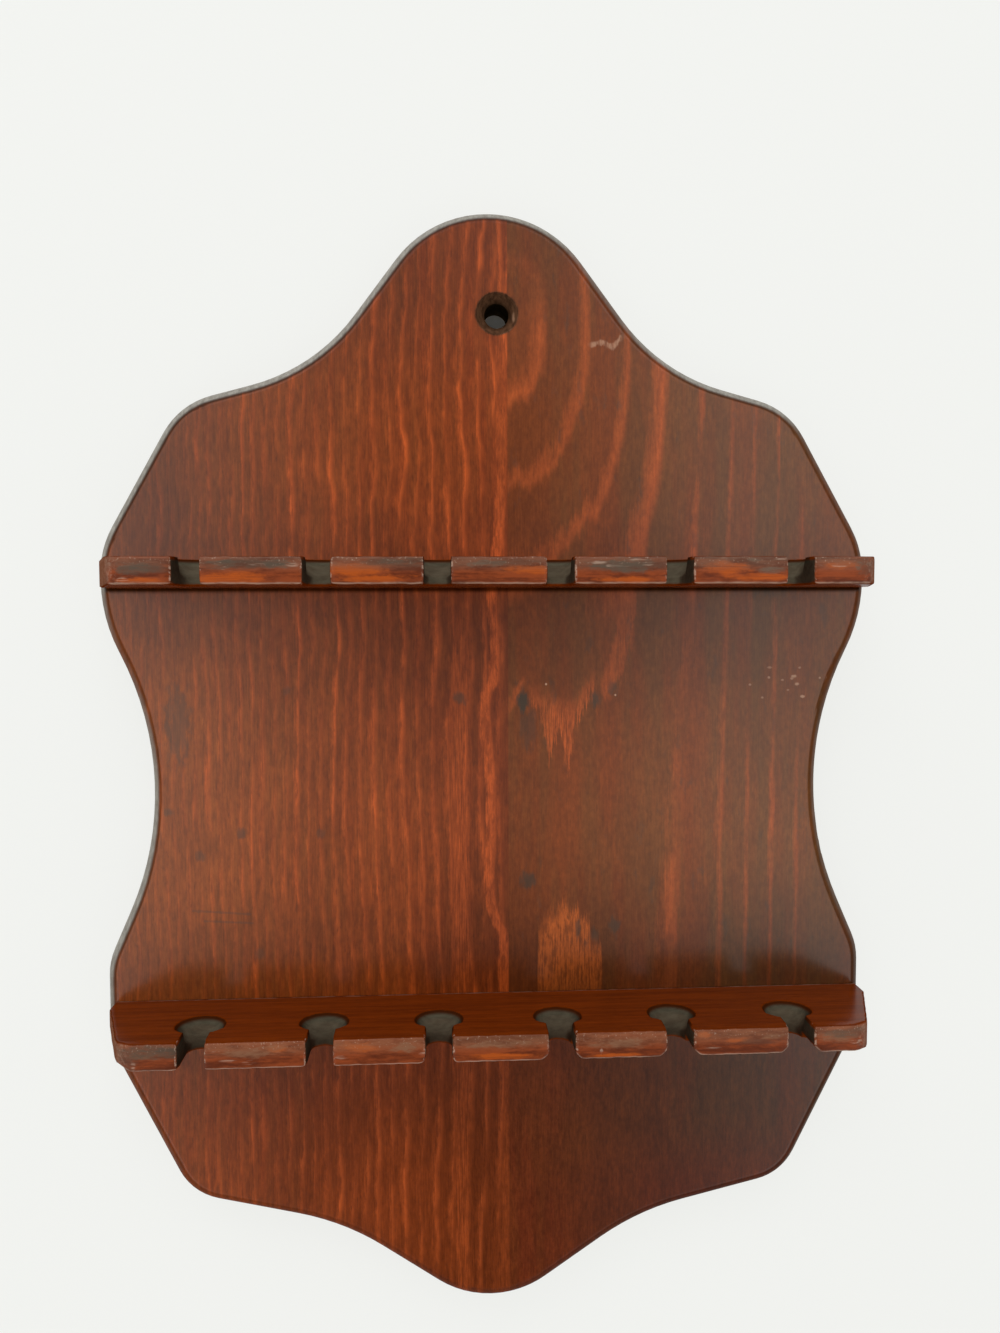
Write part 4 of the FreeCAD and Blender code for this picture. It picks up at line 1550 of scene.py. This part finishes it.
@dataclass
class Rail:
    """One notched rail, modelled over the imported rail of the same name.

    Attributes:
        name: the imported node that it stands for.
        uneven: millimetres by which each notch is off its even place.
        chipped: whether the lower edge of its left end is cut off.
        rounded: millimetres of each notch's lower corners that are worn away.
        end_square: metres of the ends that stay square to the board.
        end_taper: metres by which the front is shorter at each end.
        corner: rounding of the front corners.
        neck: width of a notch's slot.
        seat: width of the seat that is scooped out at the slot's end.
        seat_front: metres from the seat's middle to its straight front.
        seat_depth: how deep the scoop runs.
        seat_foot: width of the scoop at its foot.
        seat_lean: how far the foot lies in front of the seat's middle.
        flare: width, length and depth of the worn corners between a slot and its seat.
        web: metres of wood behind the seat.
        pitch: metres from one notch to the next.
        row_shift: metres from the rail's middle to the middle of the row.
        grain_size: size of the mesh's facets.
        softening: how often the edges are smoothed.
        inner_wear: how much of that smoothing reaches the parts behind the front.
        worn_depth: metres of the front that are smoothed fully.
        edge_reach: metres from the front edges that can be chipped.
        chip_depth: metres that the front edges have lost here and there.
        dent_size: metres from one dent to the next.
        spare: metres of wood left behind the rail until the last cut.
        past: metres by which a cutter stands out of the rail.
    """

    CORNER_FACETS = 8
    SLOT_FACETS = 48
    SEAT_FACETS = 64
    FLARE_SIDES = 4
    CHIP_HEIGHT = 2.0 * MM
    CHIP_SLOPE = (-2.0, -0.76, -3.5)
    FACES_UP = 0.9
    SMOOTH_STEP = 0.5

    name: str
    uneven: tuple[float, ...]
    chipped: bool
    rounded: tuple[float, ...]
    end_square: float = 5.5 * MM
    end_taper: float = 8.6 * MM
    corner: float = 4.0 * MM
    neck: float = 6.3 * MM
    seat: float = 12.2 * MM
    seat_front: float = 2.4 * MM
    seat_depth: float = 5.0 * MM
    seat_foot: float = 5.4 * MM
    seat_lean: float = 1.95 * MM
    flare: tuple[float, float, float] = (2.5 * MM, 1.9 * MM, 4.0 * MM)
    web: float = 10.9 * MM
    pitch: float = 29.36 * MM
    row_shift: float = 0.3 * MM
    grain_size: float = 0.5 * MM
    softening: int = 10
    inner_wear: float = 0.12
    worn_depth: float = 2.4 * MM
    edge_reach: float = 2.5 * MM
    chip_depth: float = 0.35 * MM
    dent_size: float = 3.0 * MM
    spare: float = 3.0 * MM
    past: float = 2.0 * MM

    def build(self) -> bpy.types.Object:
        """Cuts the rail from a block and wears its front.

        Returns:
            The rail, with its edges softened.
        """
        low, high = (Vector(corner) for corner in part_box(self.name))
        piece = MeshBench.block(self.name + "_worn", low, (high.x, high.y + self.spare, high.z))
        self.shape_ends(piece, low, high)
        cutter = self.notches(low, high)
        MeshBench.apply(
            piece, "BOOLEAN", operation="DIFFERENCE", object=cutter, solver="EXACT", use_self=True)
        bpy.data.objects.remove(cutter)
        MeshBench.apply(piece, "REMESH", mode="VOXEL", voxel_size=self.grain_size)
        self.wear(piece, low, high)
        MeshBench.slice(piece, (0.0, high.y, 0.0), (0.0, 1.0, 0.0))
        return piece

    def shape_ends(self, piece: bpy.types.Object, low: Vector, high: Vector) -> None:
        """Tapers both ends towards the front and rounds the front corners.

        Args:
            piece: the block.
            low: the rail's lowest corner.
            high: the rail's highest corner.
        """
        run = high.y - low.y - self.end_square
        for side, end in ((-1.0, low.x), (1.0, high.x)):
            slant = Vector((side * run, -self.end_taper, 0.0)).normalized()
            MeshBench.slice(piece, (end, high.y - self.end_square, 0.0), slant)
            MeshBench.round_upright(
                piece, end - side * self.end_taper, low.y, self.corner, self.CORNER_FACETS)
        if self.chipped:
            corner = (low.x + self.end_taper, low.y, low.z + self.CHIP_HEIGHT)
            MeshBench.slice(piece, corner, Vector(self.CHIP_SLOPE).normalized())

    def notches(self, low: Vector, high: Vector) -> bpy.types.Object:
        """Makes the cutter for the row of notches.

        Args:
            low: the rail's lowest corner.
            high: the rail's highest corner.

        Returns:
            The cutter.
        """
        past, half = self.past, self.neck / 2
        end_y = high.y - self.web - self.seat / 2 - self.seat_lean
        first = (low.x + high.x) / 2 + self.row_shift - self.pitch * (len(self.uneven) - 1) / 2
        MeshBench.clear()
        bpy.ops.mesh.primitive_cylinder_add(
            vertices=self.SLOT_FACETS, radius=half, depth=high.z - low.z + 2 * past,
            location=(first, end_y, (low.z + high.z) / 2))
        end = MeshBench.settle()
        slot = MeshBench.block(
            "slot", (first - half, low.y - past, low.z - past), (first + half, end_y, high.z + past))
        seat_y = end_y + self.seat_lean - self.seat_front
        flares = [self.flared(first + side * half, seat_y, high.z) for side in (-1.0, 1.0)]
        tools = (end, slot, self.scoop(first, end_y, high.z), *flares)
        row = []
        for number, (shift, worn) in enumerate(zip(self.uneven, self.rounded)):
            along = number * self.pitch + shift * MM
            for tool in tools:
                row.append(MeshBench.copy(tool, "notch_cutter", (along, 0.0, 0.0)))
            if worn:
                for side in (-1.0, 1.0):
                    row.append(self.corner_wear(first + along + side * half, worn * MM, low, end_y))
        MeshBench.take(*tools)
        bpy.ops.object.delete()
        MeshBench.take(*row)
        bpy.ops.object.join()
        return bpy.context.object

    @staticmethod
    def corner_wear(x: float, worn: float, low: Vector, end_y: float) -> bpy.types.Object:
        """Makes the cutter that takes one lower corner off a notch.

        Args:
            x: where the corner is.
            worn: how much is gone along each side.
            low: the rail's lowest corner.
            end_y: how far back the wear runs.

        Returns:
            The cutter.
        """
        MeshBench.clear()
        bpy.ops.mesh.primitive_cube_add(
            size=1.0, location=(x, (low.y + end_y) / 2, low.z), rotation=(0.0, math.radians(45.0), 0.0))
        return MeshBench.settle((worn * math.sqrt(2.0), end_y - low.y, worn * math.sqrt(2.0)))

    def flared(self, x: float, y: float, top: float) -> bpy.types.Object:
        """Makes the cutter for one corner between a slot and its seat: a pyramid that stands on its tip.

        Args:
            x: where the corner is.
            y: where the corner is.
            top: height of the rail's top.

        Returns:
            The cutter.
        """
        across, along, depth = self.flare
        tall = depth + self.past
        MeshBench.clear()
        bpy.ops.mesh.primitive_cone_add(
            vertices=self.FLARE_SIDES, radius1=0.0, radius2=1.0, depth=1.0,
            location=(x, y, top - depth + tall / 2))
        return MeshBench.settle((across * tall / depth, along * tall / depth, tall))

    def scoop(self, x: float, y: float, top: float) -> bpy.types.Object:
        """Makes the cutter for one seat: a leaning cone with a straight front.

        Args:
            x: middle of the notch.
            y: middle of the slot's round end.
            top: height of the rail's top.

        Returns:
            The cutter.
        """
        MeshBench.clear()
        bpy.ops.mesh.primitive_cone_add(
            vertices=self.SEAT_FACETS, radius1=self.seat_foot / 2, radius2=self.seat / 2,
            depth=self.seat_depth, location=(x, y, top - self.seat_depth / 2))
        made = MeshBench.settle()
        MeshBench.select(made, "FACE")
        for face in made.data.polygons:
            face.select = face.normal.z > self.FACES_UP
        bpy.ops.object.mode_set(mode="EDIT")
        bpy.ops.transform.translate(value=(0.0, self.seat_lean, 0.0))
        bpy.ops.mesh.extrude_region_move(TRANSFORM_OT_translate={"value": (0.0, 0.0, self.past)})
        bpy.ops.object.mode_set(mode="OBJECT")
        MeshBench.slice(made, (x, y + self.seat_lean - self.seat_front, top), (0.0, -1.0, 0.0))
        return made

    def wear(self, piece: bpy.types.Object, low: Vector, high: Vector) -> None:
        """Softens every edge, the front ones most, and chips the front.

        Args:
            piece: the rail.
            low: its lowest corner.
            high: its highest corner.
        """
        soft = piece.vertex_groups.new(name="soft")
        chips = piece.vertex_groups.new(name="chips")
        for vertex in piece.data.vertices:
            y, z = vertex.co.y - low.y, vertex.co.z
            soft.add([vertex.index], 1.0 if y < self.worn_depth else self.inner_wear, "REPLACE")
            inwards = min(z - low.z, high.z - z)
            edge = max(0.0, 1.0 - y / self.edge_reach) * max(0.0, 1.0 - inwards / self.edge_reach)
            chips.add([vertex.index], edge, "REPLACE")
        MeshBench.apply(
            piece, "SMOOTH", factor=self.SMOOTH_STEP, iterations=self.softening, vertex_group=soft.name)
        dents = bpy.data.textures.new(self.name + "_dents", "CLOUDS")
        dents.noise_scale = self.dent_size
        MeshBench.apply(
            piece, "DISPLACE", texture=dents, texture_coords="LOCAL", strength=self.chip_depth, mid_level=1.0,
            vertex_group=chips.name)

    def dress(self, piece: bpy.types.Object, finish: bpy.types.Material) -> None:
        """Puts the finish on and hands the piece to the frame.

        Args:
            piece: the built rail.
            finish: its material.
        """
        MeshBench.take(piece)
        bpy.ops.object.shade_smooth()
        piece.data.materials.clear()
        piece.data.materials.append(finish)
        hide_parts(self.name)
        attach(piece, "root")
        LOG.info("%s: %d faces", piece.name, len(piece.data.polygons))


@dataclass(frozen=True)
class PhotoCamera:
    """The camera, in metres and degrees in the rack's frame.

    Attributes:
        place: where it stands.
        yaw: turn to the left, seen from above.
        pitch: tilt upwards.
        roll: lean to the right.
        focal_pixels: focal length in pixels of the image.
        image_height: pixels from top to bottom.
        sensor: millimetres of film along the image's long side.
    """

    place: tuple[float, float, float] = (-0.01484, -0.27722, -0.07857)
    yaw: float = -3.33016
    pitch: float = -2.92537
    roll: float = 0.17449
    focal_pixels: float = 1000.0
    image_height: float = 1333.0
    sensor: float = 36.0

    def build(self) -> bpy.types.Object:
        """Makes the camera the scene's own.

        Returns:
            The camera.
        """
        bpy.ops.object.camera_add(location=self.place)
        camera = bpy.context.object
        camera.name = "photo_camera"
        camera.data.sensor_fit = "AUTO"
        camera.data.sensor_width = self.sensor
        camera.data.lens = self.sensor * self.focal_pixels / self.image_height
        turn = Matrix.Rotation(math.radians(self.yaw), 3, "Z")
        tilt = Matrix.Rotation(math.radians(self.pitch), 3, "X")
        lean = Matrix.Rotation(math.radians(self.roll), 3, "Y")
        upright = Matrix.Rotation(math.radians(90.0), 3, "X")
        camera.rotation_euler = (turn @ tilt @ lean @ upright).to_euler()
        bpy.context.scene.camera = camera
        return camera


@dataclass
class Studio:
    """Pale wall and floor, soft light and what the varnish mirrors.

    Attributes:
        wall_gap: metres between the rack's back and the wall.
        wall_glow: share of the wall's tone that doesn't take a shadow.
        wall_plain: metres around the hanging hole where the wall takes every shadow.
        floor_level: height of the floor.
        floor_glow: share of the floor's tone that doesn't take a shadow.
        half_width: metres from the rack to the end of the wall.
        soft_rim: metres over which the paper's glow comes in.
        room_light: brightness of the room all round.
        mirrored_light: brightness of the room in the varnish.
        lamp_place: where the lamp hangs.
        lamp_aim: the point that it looks at.
        lamp_size: its width and height.
        lamp_energy: its power in watts.
        card_place: middle of the dim card.
        card_size: its width and height.
        card_dark: where it is darkest from side to side.
        card_fall: metres from there to where it is brighter by the side value.
        pale: tone of the wall and the floor.
    """

    CARD_MIDDLE = ((-0.55, 0.0), (-0.41, 0.0), (-0.29, 0.1), (-0.17, 0.32), (-0.08, 0.18), (0.01, 0.05),
                   (0.12, 0.28), (0.2, 0.36))
    CARD_SIDES = ((-0.55, 0.35), (-0.41, 0.4), (-0.17, 0.75), (0.01, 1.0), (0.2, 1.0))
    CARD_RANGE = (0.0, 2.0)
    UPRIGHT = (90.0, 0.0, 0.0)
    UPRIGHT_TURNED = (90.0, 0.0, 180.0)
    LYING = (0.0, 0.0, 0.0)

    wall_gap: float = 0.0006
    wall_glow: float = 0.85
    wall_plain: float = 8.0 * MM
    floor_level: float = -0.40
    floor_glow: float = 0.6
    half_width: float = 3.0
    soft_rim: float = 4.0 * MM
    room_light: float = 0.66
    mirrored_light: float = 1.25
    lamp_place: tuple[float, float, float] = (-0.25, -0.75, 1.0)
    lamp_aim: tuple[float, float, float] = (0.0, 0.0, -0.12)
    lamp_size: tuple[float, float] = (1.4, 0.8)
    lamp_energy: float = 9.0
    card_place: tuple[float, float, float] = (0.014, -0.36, -0.17)
    card_size: tuple[float, float] = (1.0, 1.3)
    card_dark: float = -0.012
    card_fall: float = 0.162
    pale: Colour = stain(244, 245, 242)

    def build(self) -> None:
        """Makes the wall, the floor, the lights, the world and the dim card."""
        self.wall()
        self.floor()
        self.lights()
        self.world()
        self.card()

    def card(self) -> None:
        """Stands a dim card behind the camera, darkest in the middle, that shows only in the varnish."""
        card = self.sheet("dim_card", self.card_place, self.UPRIGHT_TURNED, 1.0)
        MeshBench.settle((*self.card_size, 1.0))
        material, bench = blank("dim_card")
        x, _, z = bench.split(bench.coordinates("Object"))
        out = bench.over(bench.minus(x, self.card_dark), self.card_fall)
        rise = bench.times(out, out, bench.curve(z, self.CARD_SIDES, *self.CARD_RANGE))
        level = bench.add(bench.curve(z, self.CARD_MIDDLE, *self.CARD_RANGE), rise)
        glow = bench.node("ShaderNodeEmission")
        bench.feed(glow.inputs["Strength"], bench.math("MINIMUM", level, self.mirrored_light))
        bench.close(glow.outputs[0])
        card.data.materials.append(material)
        card.visible_camera = False
        card.visible_diffuse = False
        card.visible_shadow = False

    def sheet(
            self, name: str, place: Sequence[float], turn: Sequence[float], size: float) -> bpy.types.Object:
        """Flat square of the stage.

        Args:
            name: the object's name.
            place: its middle.
            turn: its rotation in degrees.
            size: its side in metres.

        Returns:
            The square.
        """
        bpy.ops.object.select_all(action="DESELECT")
        bpy.ops.mesh.primitive_plane_add(
            size=size, location=place, rotation=[math.radians(angle) for angle in turn])
        made = bpy.context.object
        made.name = name
        return made

    def paper(self, name: str, glow: float, one_sided: bool, plain: float) -> bpy.types.Material:
        """Pale paper that the camera sees nearly evenly lit.

        Args:
            name: the material's name.
            glow: share of the paper's tone that doesn't take a shadow.
            one_sided: whether it can be seen through from behind.
            plain: metres around its middle that take every shadow.

        Returns:
            The material.
        """
        material, bench = blank(name)
        matt = bench.node("ShaderNodeBsdfDiffuse")
        lit = bench.node("ShaderNodeEmission")
        for shader in (matt, lit):
            shader.inputs["Color"].default_value = (*self.pale, 1.0)
        rays = bench.node("ShaderNodeLightPath")
        away = bench.vector("LENGTH", bench.coordinates("Object"))
        open_part = bench.span(away, plain, plain + self.soft_rim)
        seen = bench.times(rays.outputs["Is Camera Ray"], open_part, glow)
        surface = bench.blend(seen, matt.outputs[0], lit.outputs[0])
        if one_sided:
            behind = bench.node("ShaderNodeNewGeometry").outputs["Backfacing"]
            surface = bench.blend(behind, surface, bench.node("ShaderNodeBsdfTransparent").outputs[0])
        bench.close(surface)
        return material

    def wall(self) -> None:
        """Hangs the pale wall just behind the rack."""
        wall = self.sheet("wall", (0.0, self.wall_gap, 0.0), self.UPRIGHT, 2.0 * self.half_width)
        wall.data.materials.append(self.paper("wall_paper", self.wall_glow, True, self.wall_plain))
        wall.visible_diffuse = False
        wall.visible_glossy = False
        wall.visible_shadow = False

    def floor(self) -> None:
        """Lays the pale floor below the rack."""
        floor = self.sheet("floor", (0.0, 0.0, self.floor_level), self.LYING, 2.0 * self.half_width)
        floor.data.materials.append(self.paper("floor_paper", self.floor_glow, False, 0.0))
        floor.visible_glossy = False

    def lights(self) -> None:
        """Hangs a wide soft lamp above and in front."""
        bpy.ops.object.light_add(type="AREA", location=self.lamp_place)
        lamp = bpy.context.object
        lamp.name = "overhead_softbox"
        lamp.data.shape = "RECTANGLE"
        lamp.data.size, lamp.data.size_y = self.lamp_size
        lamp.data.energy = self.lamp_energy
        aim = Vector(self.lamp_aim) - lamp.location
        lamp.rotation_euler = aim.to_track_quat("-Z", "Y").to_euler()

    def world(self) -> None:
        """Fills the room with even pale light."""
        world = bpy.data.worlds.new("pale_room")
        world.use_nodes = True
        bpy.context.scene.world = world
        world.node_tree.nodes.clear()
        bench = NodeBench(world.node_tree)
        rays = bench.node("ShaderNodeLightPath")
        mirrored = bench.times(rays.outputs["Is Glossy Ray"], self.mirrored_light)
        strength = bench.largest(rays.outputs["Is Camera Ray"], mirrored, self.room_light)
        back = bench.node("ShaderNodeBackground")
        back.inputs["Color"].default_value = (*self.pale, 1.0)
        bench.feed(back.inputs["Strength"], strength)
        bench.feed(bench.node("ShaderNodeOutputWorld").inputs["Surface"], back.outputs[0])


@dataclass
class SpoonRack:
    """The rack: a board of two planks, two rails and the screws behind them.

    Attributes:
        upper_uneven: millimetres by which each upper notch is off its even place.
        lower_uneven: the same for the lower notches.
        upper_rounded: millimetres worn off the lower corners of each upper notch.
        lower_rounded: the same for the lower notches.
    """

    upper_uneven: tuple[float, ...] = (0.2, 1.0, 0.0, 0.0, -0.7, -0.6)
    lower_uneven: tuple[float, ...] = (-0.7, 0.4, -0.3, 0.3, 0.1, 0.85)
    upper_rounded: tuple[float, ...] = (0.0, 0.0, 0.0, 0.0, 0.0, 0.0)
    lower_rounded: tuple[float, ...] = (0.0, 0.0, 1.0, 1.6, 1.8, 1.8)

    def dress(self) -> None:
        """Gives every CAD node its finish and models the worn rails."""
        finishes = {
            "left_plank": QuarterSawnFinish().material,
            "right_plank": FlatSawnFinish().material,
            "upper_rail": RailFinish("upper_rail_pine", UPPER_WEAR).material,
            "lower_rail": RailFinish("lower_rail_pine", LOWER_WEAR).material,
        }
        steel = ScrewFinish().material
        for name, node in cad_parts.items():
            finish = finishes.get(name, steel)
            for slot in node.material_slots:
                slot.material = finish
            LOG.info("%s takes %s", name, finish.name)
        upper = Rail("upper_rail", self.upper_uneven, chipped=False, rounded=self.upper_rounded)
        lower = Rail("lower_rail", self.lower_uneven, chipped=True, rounded=self.lower_rounded)
        for rail in (upper, lower):
            rail.dress(rail.build(), finishes[rail.name])


def main() -> None:
    """Builds the camera, the studio and the rack in order."""
    logging.basicConfig(level=logging.INFO, format="%(name)s: %(message)s")
    bpy.context.scene.view_settings.view_transform = "Standard"
    PhotoCamera().build()
    Studio().build()
    SpoonRack().dress()


if __name__ == "__main__":
    main()
